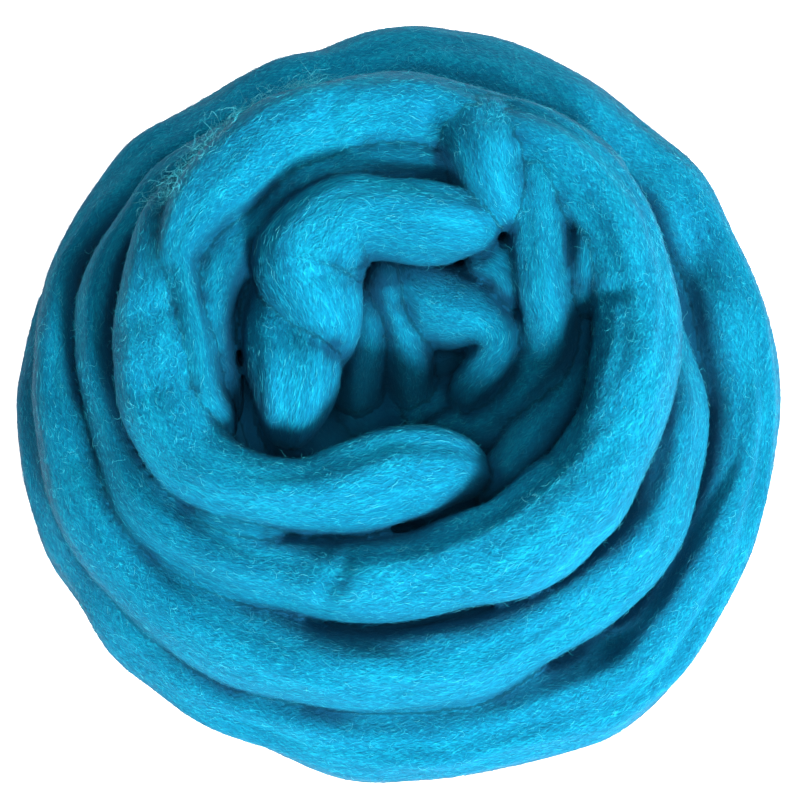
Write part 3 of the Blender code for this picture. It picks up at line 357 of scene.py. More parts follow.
HOLLOW_MIDDLE = [
    Section(-0.0049, 0.0391, 0.050, 0.0110, 0.018, 90, 0.00),
    Section(-0.0039, 0.0302, 0.046, 0.0136, 0.022, 90, 0.04),
    Section(-0.0017, 0.0217, 0.040, 0.0150, 0.024, 90, 0.06),
    Section(0.0013, 0.0131, 0.034, 0.0171, 0.024, 90, 0.06),
    Section(0.0039, 0.0052, 0.027, 0.0172, 0.022, 90, 0.06),
    Section(0.0053, -0.0020, 0.020, 0.0160, 0.018, 90, 0.04),
    Section(0.0060, -0.0090, 0.014, 0.0101, 0.014, 90, 0.00),
]
HOLLOW_FLOOR = [
    Section(-0.0010, -0.0155, 0.016, 0.0153, 0.016, 90, 0.00),
    Section(0.0090, -0.0064, 0.018, 0.0167, 0.020, 90, 0.06),
    Section(0.0239, -0.0024, 0.020, 0.0173, 0.022, 90, 0.08),
    Section(0.0439, 0.0023, 0.022, 0.0173, 0.022, 90, 0.04),
]
print("the lowest turn has", len(LOWEST_TURN), "rows; places and sizes are in metres")

# %% [markdown]
# Some turns lie hidden at the bottom of the nest. They only carry the others, so they are plain rings.

# %% The hidden bed
Ring = namedtuple("Ring", "radius z width depth")
BED_RINGS = [
    Ring(0.090, 0.013, 0.034, 0.027),
    Ring(0.062, 0.013, 0.030, 0.029),
    Ring(0.036, 0.012, 0.030, 0.028),
    Ring(0.011, 0.011, 0.028, 0.026),
    Ring(0.071, 0.027, 0.034, 0.028),
]
RING_ROWS = 12


def ring_rows(ring):
    rows = []
    for step in range(RING_ROWS + 1):
        angle = math.tau * step / RING_ROWS
        x, y = ring.radius * math.cos(angle), ring.radius * math.sin(angle)
        rows.append(Section(x, y, ring.z, ring.width, ring.depth, 0, 0))
    return rows


print(len(BED_RINGS), "rings carry the nest")

# %% [markdown]
# ## The skin of a strand
# A smooth line is drawn through the rows (a Catmull-Rom spline), with a cross-section every couple of
# millimetres, and fewer where nothing shows. A section is an oval that is a little fuller than an
# ellipse, and a strand's two ends are drawn in to a round tip, which takes a third of it at most.

# %% Sections along the strand
STEP = 0.0024
HIDDEN_STEP = 0.0080
SIDES = 48
TIP_LENGTH = 0.012
SECTION_FULLNESS = 0.90


def catmull_rom(a, b, c, d, t):
    bend = (2 * a - 5 * b + 4 * c - d) * t * t
    twist = (3 * b - a - 3 * c + d) * t * t * t
    return 0.5 * (2 * b + (c - a) * t + bend + twist)


def between(rows, step):
    padded = [rows[0], *rows, rows[-1]]
    found = []
    for before, start, end, after in zip(padded, padded[1:], padded[2:], padded[3:]):
        apart = (Vector(end[:3]) - Vector(start[:3])).length
        pieces = max(1, round(apart / step))
        for piece in range(pieces):
            t = piece / pieces
            columns = zip(before, start, end, after)
            found.append(Section(*(catmull_rom(a, b, c, d, t) for a, b, c, d in columns)))
    found.append(rows[-1])
    return found


LONG_STRAND = LOWEST_TURN + SECOND_TURN + THIRD_TURN + TOP_TURN
print("the long strand has", len(between(LONG_STRAND, STEP)), "sections")

# %% [markdown]
# Combed wool is never smooth. Three sizes of unevenness make it look soft: slow swellings 4 to 17
# centimetres long, lengthwise folds, and fine ridges where bundles of fibres lie side by side.
# A swelling is a wave. Its row gives its share of the radius, the length it runs for each radian, how
# many lobes it has round the strand, and a shift that makes each strand differ.

# %% Slow swellings
Swelling = namedtuple("Swelling", "share length lobes shift")
SWELLINGS = [
    Swelling(0.030, 0.0105, 0, 2.3),
    Swelling(0.022, 0.0062, 1, 4.1),
    Swelling(0.024, 0.0150, -2, 1.0),
    Swelling(0.018, 0.0270, 5, 1.7),
]


def unevenness(along, turn, seed):
    swollen = 0.0
    for wave in SWELLINGS:
        swollen += wave.share * math.sin(along / wave.length + wave.lobes * turn + wave.shift * seed)
    return swollen


print("at most", round(sum(wave.share for wave in SWELLINGS), 3), "of the radius is swelling")

# %% [markdown]
# The main fold lies where the section's row says. A fold's row here gives how many degrees it lies apart
# from that one, how much it takes of the wander that all share, its share of the cut, and its spread in
# degrees. Ridges come from noise that is stretched along the strand: a share of the radius, a length, how
# closely they lie round the strand, and a shift.

# %% Lengthwise folds
Fold = namedtuple("Fold", "apart wander share spread")
FOLDS = [Fold(0, 1, 1.0, 13), Fold(48, -2, 0.45, 10), Fold(-42, 2, 0.35, 9)]
WANDER_DEGREES = 8
WANDER_LENGTH = 0.030


def crease_depth(section, along, turn, seed):
    wander = WANDER_DEGREES * math.sin(along / WANDER_LENGTH + seed)
    drawn_in = 0.0
    for fold in FOLDS:
        at = section.crease + fold.apart + fold.wander * wander
        away = (math.degrees(turn) - at + 180) % 360 - 180
        drawn_in += fold.share * section.cut * math.exp(-((away / fold.spread) ** 2))
    return drawn_in


print(len(FOLDS), "folds run along each strand,", [fold.apart for fold in FOLDS], "degrees from the main one")

# %% Ridges
Ridge = namedtuple("Ridge", "share length round shift")
RIDGES = [Ridge(0.095, 0.034, 1.5, 7), Ridge(0.044, 0.020, 4.5, -9)]


def ridges(along, turn, seed):
    height = 0.0
    for ridge in RIDGES:
        across, up = ridge.round * math.cos(turn), ridge.round * math.sin(turn)
        height += ridge.share * noise.noise(Vector((along / ridge.length, across, up + ridge.shift * seed)))
    return height


print("a ridge at the start of the strand:", round(ridges(0.0, 1.0, 0), 4))

# %% [markdown]
# The nest has been handled, so here and there it is pressed in. Each hollow is an oval dip: the skin
# sinks most at its middle and fades out round it, and what rests on the table stays where it is. The
# rows give a hollow's middle, its long and short reach, how many degrees it is turned, and its depth.
# The script that wrote the tables of turns wrote the middles and the reaches here as well.

# %% Hollows pressed into the nest
Hollow = namedtuple("Hollow", "x y long short turned depth")
HOLLOWS = [
    Hollow(-0.0210, 0.0720, 0.0106, 0.0031, 95, 0.0018),
    Hollow(-0.0219, 0.0228, 0.0068, 0.0015, 8, 0.0014),
    Hollow(-0.0772, 0.0120, 0.0100, 0.0050, 24, 0.0016),
    Hollow(-0.0773, -0.0109, 0.0105, 0.0053, -4, 0.0017),
    Hollow(-0.0203, -0.0720, 0.0104, 0.0037, 55, 0.0026),
    Hollow(0.0684, -0.0865, 0.0069, 0.0035, 35, 0.0050),
    Hollow(0.0998, 0.0453, 0.0127, 0.0067, -66, 0.0055),
    Hollow(0.0668, 0.0198, 0.0056, 0.0031, 10, 0.0030),
    Hollow(0.0353, 0.0609, 0.0041, 0.0025, 20, 0.0024),
    Hollow(0.0109, 0.0744, 0.0052, 0.0032, -60, 0.0050),
    Hollow(-0.0367, 0.0060, 0.0075, 0.0044, -30, 0.0020),
]
HOLLOW_FLOOR_Z = 0.006
HOLLOW_FULL_Z = 0.026


def pressed(points):
    share = np.clip((points[..., 2] - HOLLOW_FLOOR_Z) / (HOLLOW_FULL_Z - HOLLOW_FLOOR_Z), 0, 1)
    down = np.zeros(points.shape[:-1])
    for hollow in HOLLOWS:
        angle = math.radians(hollow.turned)
        x, y = points[..., 0] - hollow.x, points[..., 1] - hollow.y
        along = (x * math.cos(angle) + y * math.sin(angle)) / hollow.long
        across = (y * math.cos(angle) - x * math.sin(angle)) / hollow.short
        down += hollow.depth * np.exp(-(along**2) - across**2)
    return down * share


print(len(HOLLOWS), "hollows")

# %% [markdown]
# Each skin is rolled from a flat grid: one edge of the grid meets the other along the strand, and each
# row of the grid becomes one cross-section. One merge by distance closes the grid into a tube and its
# tips into points. The grid keeps an even net of faces, which takes fine folds well. Each vertex also
# keeps its place on the strand, how far along and where round it, for the grain. In that measure the
# strands lie three metres apart, so that no two have the same grain.

# %% One section after another
TIPS_IN_A_STRAND = 3


def tip(along, length):
    short = min(TIP_LENGTH, length / TIPS_IN_A_STRAND)
    near = min(along, length - along)
    if near >= short:
        return 1.0
    return math.sqrt(max(0.0, 1 - (1 - near / short) ** 2))


def plump(share):
    return math.copysign(abs(share) ** SECTION_FULLNESS, share)


Skin = namedtuple("Skin", "points run")


def skin_points(rows, seed, closed):
    sections = between(rows, HIDDEN_STEP if closed else STEP)
    centres = [Vector(s[:3]) for s in sections]
    run = [0.0]
    for a, b in zip(centres, centres[1:]):
        run.append(run[-1] + (b - a).length)
    last = len(sections) - 1
    points = np.empty((last + 1, SIDES + 1, 3))
    for i, s in enumerate(sections):
        if closed:
            heading = centres[(i + 1) % last] - centres[(i - 1) % last]
        else:
            heading = centres[min(i + 1, last)] - centres[max(i - 1, 0)]
        side = heading.cross(Vector((0, 0, 1))).normalized()
        up = side.cross(heading).normalized()
        drawn = 1.0 if closed else tip(run[i], run[-1])
        for j in range(SIDES + 1):
            turn = math.tau * (j % SIDES) / SIDES
            size = drawn
            if not closed:
                size *= 1 + unevenness(run[i], turn, seed) - crease_depth(s, run[i], turn, seed)
                size += drawn * ridges(run[i], turn, seed)
            points[i, j] = (
                centres[i]
                + side * (0.5 * s.width * plump(math.cos(turn)) * size)
                + up * (0.5 * s.depth * plump(math.sin(turn)) * size)
            )
    points[:, :, 2] -= pressed(points)
    points[:, :, 2] = np.maximum(points[:, :, 2], 0.0)
    return Skin(points, np.array(run))


print("a section has", SIDES, "sides")

# %% Roll a grid into a skin
GRID_HALF = 0.5
PLACE_APART = 3
PLACE_RADIUS = 0.015
POINT_MERGE = 1e-6


def roll(shape, skin, seed, place):
    last = len(skin.points) - 1
    grid = bmesh.ops.create_grid(shape, x_segments=SIDES, y_segments=last, size=GRID_HALF)["verts"]
    for vertex in grid:
        i = round((vertex.co.y + GRID_HALF) * last)
        j = round((vertex.co.x + GRID_HALF) * SIDES)
        vertex.co = skin.points[i, j]
        turn = math.tau * j / SIDES
        across, up = PLACE_RADIUS * math.cos(turn), PLACE_RADIUS * math.sin(turn)
        vertex[place] = Vector((skin.run[i] + PLACE_APART * seed, across, up))


print("points closer than", POINT_MERGE, "m are merged")


# %% Several strands in one piece
def rolled_piece(name, strands):
    shape = bmesh.new()
    place = shape.verts.layers.float_vector.new("place")
    skins = []
    for seed, rows, closed in strands:
        skin = skin_points(rows, seed, closed)
        roll(shape, skin, seed, place)
        if not closed:
            skins.append(skin)
    bmesh.ops.remove_doubles(shape, verts=shape.verts, dist=POINT_MERGE)
    bmesh.ops.recalc_face_normals(shape, faces=shape.faces)
    for face in shape.faces:
        face.smooth = True
    mesh = bpy.data.meshes.new(name)
    shape.to_mesh(mesh)
    shape.free()
    piece = bpy.data.objects.new(name, mesh)
    bpy.context.scene.collection.objects.link(piece)
    print(name, len(mesh.polygons), "faces")
    return piece, skins


# %% [markdown]
# The long strand makes the turns. The folds lie inside it, and each strand has a number of its own, so
# that no two swell and fold alike.

# %% Wind the nest
FOLD_STRANDS = [
    LEFT_TURN,
    UNDER_FOLD,
    BACK_TURN,
    INNER_LEFT_TURN,
    INNER_RIGHT_TURN,
    INNER_SLOPE,
    CENTRE_FOLD,
    HANGING_FOLD,
    RIGHT_FOLD,
    SMALL_FOLD,
    HOOK_FOLD,
    STEP_FOLD,
    HOLLOW_LEFT,
    HOLLOW_MIDDLE,
    HOLLOW_FLOOR,
]
FIRST_RING_NUMBER = 20
turns, turn_skins = rolled_piece("wound_turns", [(0, LONG_STRAND, False)])
folds, fold_skins = rolled_piece(
    "inner_folds", [(number, rows, False) for number, rows in enumerate(FOLD_STRANDS, start=1)]
)
bed, _ = rolled_piece(
    "hidden_bed", [(FIRST_RING_NUMBER + n, ring_rows(ring), True) for n, ring in enumerate(BED_RINGS)]
)

# %% [markdown]
# ## One skin
# Where two turns of wool touch, their fibres catch and the line between them goes soft. So the strands
# are fused into one closed skin by a voxel remesh, which also leaves out all that lies pressed inside,
# and the skin is smoothed a little.

# %% Fuse the strands
FUSE_VOXEL = 0.00125
SOFT_ROUNDS = 2
SOFT_SHARE = 0.5


def joined(pieces):
    shape = bmesh.new()
    for piece in pieces:
        shape.from_mesh(piece.data)
    mesh = bpy.data.meshes.new("joined")
    shape.to_mesh(mesh)
    shape.free()
    return mesh


def fused(mesh):
    rough = bpy.data.objects.new("rough", mesh)
    bpy.context.scene.collection.objects.link(rough)
    fuse = rough.modifiers.new("fuse", "REMESH")
    fuse.mode = "VOXEL"
    fuse.voxel_size = FUSE_VOXEL
    soften = rough.modifiers.new("soften", "SMOOTH")
    soften.factor = SOFT_SHARE
    soften.iterations = SOFT_ROUNDS
    bpy.context.view_layer.update()
    whole = bpy.data.meshes.new_from_object(rough.evaluated_get(bpy.context.evaluated_depsgraph_get()))
    bpy.data.objects.remove(rough)
    return whole


strands = joined([turns, folds, bed])
whole = fused(strands.copy())
print("the fused skin has", len(whole.polygons), "faces")

# %% [markdown]
# The remesh also skins the pockets that are closed in between the strands. Those small skins are left
# out, so that one outer skin stays. Its underside is pressed flat on the table. It is then lightened by a
# Decimate modifier, which takes most faces away where the skin is smooth.

# %% Keep the outer skin
FACE_LIMIT = 194000
FLAT_SPOT = 0.0008


def islands(shape):
    left = set(shape.verts)
    while left:
        island, edge = set(), [left.pop()]
        while edge:
            vertex = edge.pop()
            island.add(vertex)
            for near in vertex.link_edges:
                other = near.other_vert(vertex)
                if other in left:
                    left.remove(other)
                    edge.append(other)
        yield island


def outer_skin(name, whole):
    shape = bmesh.new()
    shape.from_mesh(whole)
    parts = sorted(islands(shape), key=len)
    inner = [vertex for part in parts[:-1] for vertex in part]
    bmesh.ops.delete(shape, geom=inner, context="VERTS")
    for vertex in shape.verts:
        if vertex.co.z < FLAT_SPOT:
            vertex.co.z = 0.0
    bmesh.ops.recalc_face_normals(shape, faces=shape.faces)
    for face in shape.faces:
        face.smooth = True
    mesh = bpy.data.meshes.new(name)
    shape.to_mesh(mesh)
    shape.free()
    piece = bpy.data.objects.new(name, mesh)
    bpy.context.scene.collection.objects.link(piece)
    print(name, len(mesh.polygons), "faces;", len(parts) - 1, "inner skins left out")
    return piece


def count_triangles(mesh):
    return sum(len(face.vertices) - 2 for face in mesh.polygons)


def lighten(piece, limit):
    heavy = piece.data
    thinning = piece.modifiers.new("lighten", "DECIMATE")
    thinning.ratio = limit / count_triangles(heavy)
    bpy.context.view_layer.update()
    piece.data = bpy.data.meshes.new_from_object(piece.evaluated_get(bpy.context.evaluated_depsgraph_get()))
    piece.modifiers.clear()
    bpy.data.meshes.remove(heavy)
    print(piece.name, "lightened to", count_triangles(piece.data), "triangles")


nest = outer_skin("wound_nest", whole)
lighten(nest, FACE_LIMIT)

# %% [markdown]
# Each vertex of the skin takes its place along and round the strand from the strand that lies nearest, so
# the grain keeps to the turns. The strands themselves have then done their work and are removed.

# %% Take the strands' measure
ABOVE_THE_NEST = (0, 0, 0.1)


def take_measure(piece, strands):
    tree = BVHTree.FromPolygons([v.co for v in strands.vertices], [p.vertices for p in strands.polygons])
    place = strands.attributes["place"].data
    taken = piece.data.attributes.new("place", "FLOAT_VECTOR", "POINT").data
    for vertex in piece.data.vertices:
        spot, _, number, _ = tree.find_nearest(vertex.co)
        corners = strands.polygons[number].vertices
        shares = poly_3d_calc([strands.vertices[c].co for c in corners], spot)
        taken[vertex.index].vector = sum((place[c].vector * w for c, w in zip(corners, shares)), Vector())


take_measure(nest, strands)
for piece in (turns, folds, bed):
    bpy.data.objects.remove(piece)
outside = BVHTree.FromObject(nest, bpy.context.evaluated_depsgraph_get())
top = outside.find_nearest(ABOVE_THE_NEST)[0]
print("the skin's nearest spot to a point above the nest is", [round(v, 3) for v in top])

# %% [markdown]
# ## Fibres
# The look of wool is its fibres: most lie along the strand, crossing each other at small angles, and a
# few stand off it as fuzz. Blender's hair could grow them, but a hair is not a mesh, and each fibre here
# has to be one. So one three-sided fibre is modelled, an Array copies it thousands of times, and every
# copy is bent to its own path. A path is drawn in the strand's own measure, along it and round it, so it
# follows every swelling and fold. Then it is moved onto the fused skin and lifted off it a little.

# %% The skin's own measure, for all strands together
TINY = 1e-12
all_skins = turn_skins + fold_skins
net = np.concatenate([skin.points for skin in all_skins])
ends = np.cumsum([len(skin.points) for skin in all_skins])
starts = ends - [len(skin.points) for skin in all_skins]
first_row = np.concatenate([np.full(len(s.points), a) for s, a in zip(all_skins, starts)])
last_row = np.concatenate([np.full(len(s.points), b - 1) for s, b in zip(all_skins, ends)])


def net_normals(points, start, end):
    along = np.empty_like(points)
    for a, b in zip(start, end):
        along[a:b] = np.gradient(points[a:b], axis=0)
    ring = points[:, :SIDES]
    around = np.roll(ring, -1, axis=1) - np.roll(ring, 1, axis=1)
    around = np.concatenate([around, around[:, :1]], axis=1)
    normal = np.cross(around, along)
    length = np.linalg.norm(normal, axis=2, keepdims=True)
    return normal / np.maximum(length, TINY)


normals = net_normals(net, starts, ends)
around_length = np.linalg.norm(np.diff(net, axis=1), axis=2).sum(axis=1)
middle = net[:, :SIDES].mean(axis=1, keepdims=True)
outward = np.einsum("ijk,ijk->ij", normals, net - middle)
if np.median(outward) < 0:
    normals, outward = -normals, -outward
print("skin net", net.shape, "share pointing out", round(float((outward > 0).mean()), 3))


def on_net(values, row, column):
    row0 = np.floor(row).astype(int)
    row1 = np.minimum(row0 + 1, len(values) - 1)
    part = (row - row0)[..., None]
    column = np.mod(column, SIDES)
    column0 = np.floor(column).astype(int)
    column1 = column0 + 1
    across = (column - column0)[..., None]
    low = values[row0, column0] * (1 - across) + values[row0, column1] * across
    high = values[row1, column0] * (1 - across) + values[row1, column1] * across
    return low * (1 - part) + high * part


# %% [markdown]
# Between the turns the wool lies in shade. Light that goes in among fibres is mostly swallowed there,
# which a closed skin can't do, so that shade is painted into the colour: each spot of the net looks up
# and out in a spread of directions, and the fewer of them reach the open, the darker the painted shade.
# A look that ends on the table or points down counts as closed. The share is kept as "open".

# %% How open each spot lies, which sets the painted shade
LOOKS = 24
LOOK_FAR = 0.035
LOOK_FROM = 0.0018
NET_PITCH = 2
SPOTS_BLENDED = 5
BLEND_NEAR = 0.0004
GOLDEN_TURN = math.pi * (3 - math.sqrt(5))


def spread_of_looks():
    looks = []
    for n in range(LOOKS):
        share = (n + 0.5) / LOOKS
        turn = n * GOLDEN_TURN
        level = math.sqrt(share)
        looks.append(Vector((level * math.cos(turn), level * math.sin(turn), math.sqrt(1 - share))))
    return looks


def look_out(spot, facing, looks):
    start = spot + facing * LOOK_FROM
    turned = facing.to_track_quat("Z", "Y")
    ways = [turned @ look for look in looks]
    free = sum(way.z > 0 and outside.ray_cast(start, way, LOOK_FAR)[0] is None for way in ways)
    return free / len(looks)


def open_spots():
    looks = spread_of_looks()
    spots, shares = [], []
    for row, facings in zip(net[::NET_PITCH], normals[::NET_PITCH]):
        for spot, facing in zip(row[:SIDES:NET_PITCH], facings[:SIDES:NET_PITCH]):
            spot, facing = Vector(spot), Vector(facing)
            if outside.find_nearest(spot, LOOK_FROM)[0] is not None:
                spots.append(spot)
                shares.append(look_out(spot, facing, looks))
    tree = KDTree(len(spots))
    for number, spot in enumerate(spots):
        tree.insert(spot, number)
    tree.balance()
    return tree, shares


spot_tree, spot_shares = open_spots()


def openness(points):
    shares = np.empty(len(points))
    for number, point in enumerate(points):
        near = spot_tree.find_n(point, SPOTS_BLENDED)
        weights = [1 / (distance + BLEND_NEAR) for _, _, distance in near]
        shares[number] = sum(w * spot_shares[n] for w, (_, n, _) in zip(weights, near)) / sum(weights)
    return shares


# how open each vertex lies, which sets the painted shade in the skin's colour
field = nest.data.attributes.new("open", "FLOAT", "POINT")
field.data.foreach_set("value", openness([v.co for v in nest.data.vertices]))
print(len(spot_shares), "spots looked out, on average", round(float(np.mean(spot_shares)), 2), "open")

# %% [markdown]
# A fibre may start anywhere on the strands that shows on the fused skin, just clear of the table. Fuzz
# keeps off the lowest turn, and flyaways keep to the far left edge of the top turn.

# %% Choose where fibres start
TABLE_CLEARANCE = 0.0015
SKIN_REACH = 0.0016
FUZZ_LOWEST_Z = 0.026
TOP_MIDDLE = (-0.010, 0.022)
EDGE_AWAY = 0.058
EDGE_X_BELOW = -0.022
EDGE_Y_ABOVE = 0.048
EDGE_Z = (0.058, 0.078)


def anywhere(point):
    return np.ones(len(point), bool)


def seen_places(count, rng, wanted):
    chance = around_length / around_length.sum()
    found_rows, found_columns = [], []
    total = 0
    while total < count:
        row = rng.choice(len(net), size=count, p=chance) + rng.uniform(-0.5, 0.5, count)
        whole = np.clip(np.round(row).astype(int), 0, len(net) - 1)
        row = np.clip(row, first_row[whole], last_row[whole])
        column = rng.uniform(0, SIDES, count)
        point = on_net(net, row, column)
        seen = np.array([outside.find_nearest(p, SKIN_REACH)[0] is not None for p in point])
        seen &= (point[:, 2] > TABLE_CLEARANCE) & wanted(point)
        found_rows.append(row[seen])
        found_columns.append(column[seen])
        total += int(seen.sum())
    return np.concatenate(found_rows)[:count], np.concatenate(found_columns)[:count]


def off_the_table(point):
    return point[:, 2] > FUZZ_LOWEST_Z


def far_edge_of_top(point):
    x, y, z = point[:, 0], point[:, 1], point[:, 2]
    away = np.hypot(x - TOP_MIDDLE[0], y - TOP_MIDDLE[1])
    far_left = (x < EDGE_X_BELOW) & (y > EDGE_Y_ABOVE)
    return (z > EDGE_Z[0]) & (z < EDGE_Z[1]) & (away > EDGE_AWAY) & far_left


print("flyaways start at a height of", EDGE_Z[0], "to", EDGE_Z[1], "m")

# %% [markdown]
# One straight fibre is modelled: a triangle that is extruded ring by ring, with both ends drawn to a
# point. Its rings lie one unit apart, so a vertex's height says which knot of a path it belongs to. The
# Array stacks all copies in one place.

# %% Model one fibre and array it
FIBRE_SIDES = 3
NEAR_RING = 0.1


def plain_fibres(name, count, rings):
    shape = bmesh.new()
    edge = bmesh.ops.create_circle(shape, segments=FIBRE_SIDES, radius=1)["verts"]
    edges = list({e for v in edge for e in v.link_edges})
    for _ in range(rings - 1):
        grown = bmesh.ops.extrude_edge_only(shape, edges=edges)["geom"]
        verts = [g for g in grown if isinstance(g, bmesh.types.BMVert)]
        edges = [g for g in grown if isinstance(g, bmesh.types.BMEdge)]
        bmesh.ops.translate(shape, verts=verts, vec=(0, 0, 1))
    for level in (0, rings - 1):
        open_edges = [e for e in shape.edges if e.is_boundary]
        rim = [e for e in open_edges if all(abs(v.co.z - level) < NEAR_RING for v in e.verts)]
        grown = bmesh.ops.extrude_edge_only(shape, edges=rim)["geom"]
        verts = [g for g in grown if isinstance(g, bmesh.types.BMVert)]
        end = -1 if level == 0 else rings
        bmesh.ops.pointmerge(shape, verts=verts, merge_co=(0, 0, end))
    bmesh.ops.recalc_face_normals(shape, faces=shape.faces)
    bmesh.ops.triangulate(shape, faces=shape.faces)
    mesh = bpy.data.meshes.new(name)
    shape.to_mesh(mesh)
    shape.free()
    piece = bpy.data.objects.new(name, mesh)
    bpy.context.scene.collection.objects.link(piece)
    array = piece.modifiers.new("many", "ARRAY")
    array.count = count
    array.use_relative_offset = False
    bpy.context.view_layer.update()
    many = bpy.data.meshes.new_from_object(piece.evaluated_get(bpy.context.evaluated_depsgraph_get()))
    piece.modifiers.clear()
    piece.data = many
    many.name = name
    bpy.data.meshes.remove(mesh)
    return piece


print("a fibre has", FIBRE_SIDES, "sides, and its tips lie past its first and last ring")

# %% [markdown]
# Bending moves each vertex of a copy to its knot on that copy's path, and off it by the fibre's radius.
# The fibre is thickest at its middle. It also keeps its own shade of the dye, and how open its spot
# lies, which sets its painted shade.

# %% Bend every fibre to its own path
STEEP = 0.9
OFF_THE_AXIS = 0.5
TAPER = 0.5
LOWEST_FIBRE_Z = 0.0002


def unit(ways):
    return ways / np.maximum(np.linalg.norm(ways, axis=2, keepdims=True), TINY)


def bend_fibres(piece, paths, thickness, shade, open_share):
    count, knots, _ = paths.shape
    mesh = piece.data
    flat = np.empty(len(mesh.vertices) * 3)
    mesh.vertices.foreach_get("co", flat)
    flat = flat.reshape(-1, 3)
    knot = np.round(flat[:, 2]).astype(int) + 1
    angle = np.arctan2(flat[:, 1], flat[:, 0])
    off = np.hypot(flat[:, 0], flat[:, 1])
    each = np.repeat(np.arange(count), len(flat) // count)
    heading = unit(np.gradient(paths, axis=1))
    helper = np.where(np.abs(heading[..., 2:3]) < STEEP, [[[0.0, 0.0, 1.0]]], [[[1.0, 0.0, 0.0]]])
    side = unit(np.cross(heading, helper))
    up = np.cross(side, heading)
    taper = np.sin(np.pi * np.linspace(0, 1, knots)) ** TAPER
    radius = thickness[each] / 2 * taper[knot] * (off > OFF_THE_AXIS)
    spot = (
        paths[each, knot]
        + side[each, knot] * (radius * np.cos(angle))[:, None]
        + up[each, knot] * (radius * np.sin(angle))[:, None]
    )
    spot[:, 2] = np.maximum(spot[:, 2], LOWEST_FIBRE_Z)
    mesh.vertices.foreach_set("co", spot.ravel())
    tone = mesh.attributes.new("shade", "FLOAT", "POINT")
    tone.data.foreach_set("value", shade[each])
    field = mesh.attributes.new("open", "FLOAT", "POINT")
    field.data.foreach_set("value", open_share[each])
    mesh.shade_smooth()
    mesh.update()
    print(piece.name, count, "fibres", len(mesh.polygons), "faces")


print("no fibre goes lower than", LOWEST_FIBRE_Z, "m over the table")

# %% [markdown]
# A path starts as a short line on the strand's net, at a small angle to the strand and a little bent. It
# is laid on the skin, lifted off it unevenly, so that one end or both may rise, and given its curls.

# %% Draw the paths
SKIN_GAP = 0.00006
LIFT_SHAPE = 2.0
LEAN = 0.9
LOW_SHARE = 0.2
FEWEST_CURLS = 0.5
CURL_RISE = 0.6


def laid_on_skin(base):
    middle = base[:, base.shape[1] // 2]
    landed = np.array([outside.find_nearest(spot)[0] for spot in middle])
    return base + (landed - middle)[:, None]


def fibre_paths(coat, rng):
    count, knots = coat.count, coat.rings + 2
    row, column = seen_places(count, rng, coat.wanted)
    whole = np.clip(np.round(row).astype(int), 0, len(net) - 1)
    t = np.linspace(-0.5, 0.5, knots)[None, :]
    size = rng.uniform(coat.shortest, coat.longest, count)[:, None]
    slant = rng.normal(0, coat.spread, count)[:, None]
    bend = rng.normal(0, coat.bend, count)[:, None]
    angle = slant + bend * t * 2
    along = np.cumsum(np.cos(angle), axis=1)
    across = np.cumsum(np.sin(angle), axis=1)
    along = (along - along.mean(axis=1, keepdims=True)) / knots * size
    across = (across - across.mean(axis=1, keepdims=True)) / knots * size
    rows = np.clip(row[:, None] + along / STEP, first_row[whole][:, None], last_row[whole][:, None])
    columns = column[:, None] + across / around_length[whole][:, None] * SIDES
    base = laid_on_skin(on_net(net, rows, columns))
    out = on_net(normals, rows, columns)
    high = rng.gamma(LIFT_SHAPE, coat.lift / LIFT_SHAPE, count)[:, None]
    lean = rng.uniform(-LEAN, LEAN, count)[:, None]
    rise = high * (LOW_SHARE + (1 - LOW_SHARE) * np.clip(t * 2 + lean, -1, 1) ** 2)
    turns_round = rng.uniform(FEWEST_CURLS, coat.curls, count)[:, None]
    start = rng.uniform(0, math.tau, count)[:, None]
    wave = coat.curl * np.sin(t * math.tau * turns_round + start)
    rise = rise + CURL_RISE * coat.curl * (1 + np.cos(t * math.tau * turns_round + start))
    side = unit(np.cross(out, np.gradient(base, axis=1)))
    return base + out * (rise + SKIN_GAP)[..., None] + side * wave[..., None]


print("every fibre keeps at least", SKIN_GAP, "m off the skin at its middle")

# %% [markdown]
# The fibres are laid in a few pieces, so that none has too many faces. Lying fibres are short and nearly
# straight and hug the strand. Fuzz fibres are a little longer and curlier, and stand off it by up to a
# millimetre or two. Flyaways are the longest: they stand up along the far left edge of the top turn,
# where it has been handled. Spread and bend are angles in radians. Lift is how far a coat's fibres stand
# off on average, curl is the size of their waves, and curls how many waves they have at most. Darkest and
# lightest choose the fibres' dye, from 0, deep, to 1, pale.

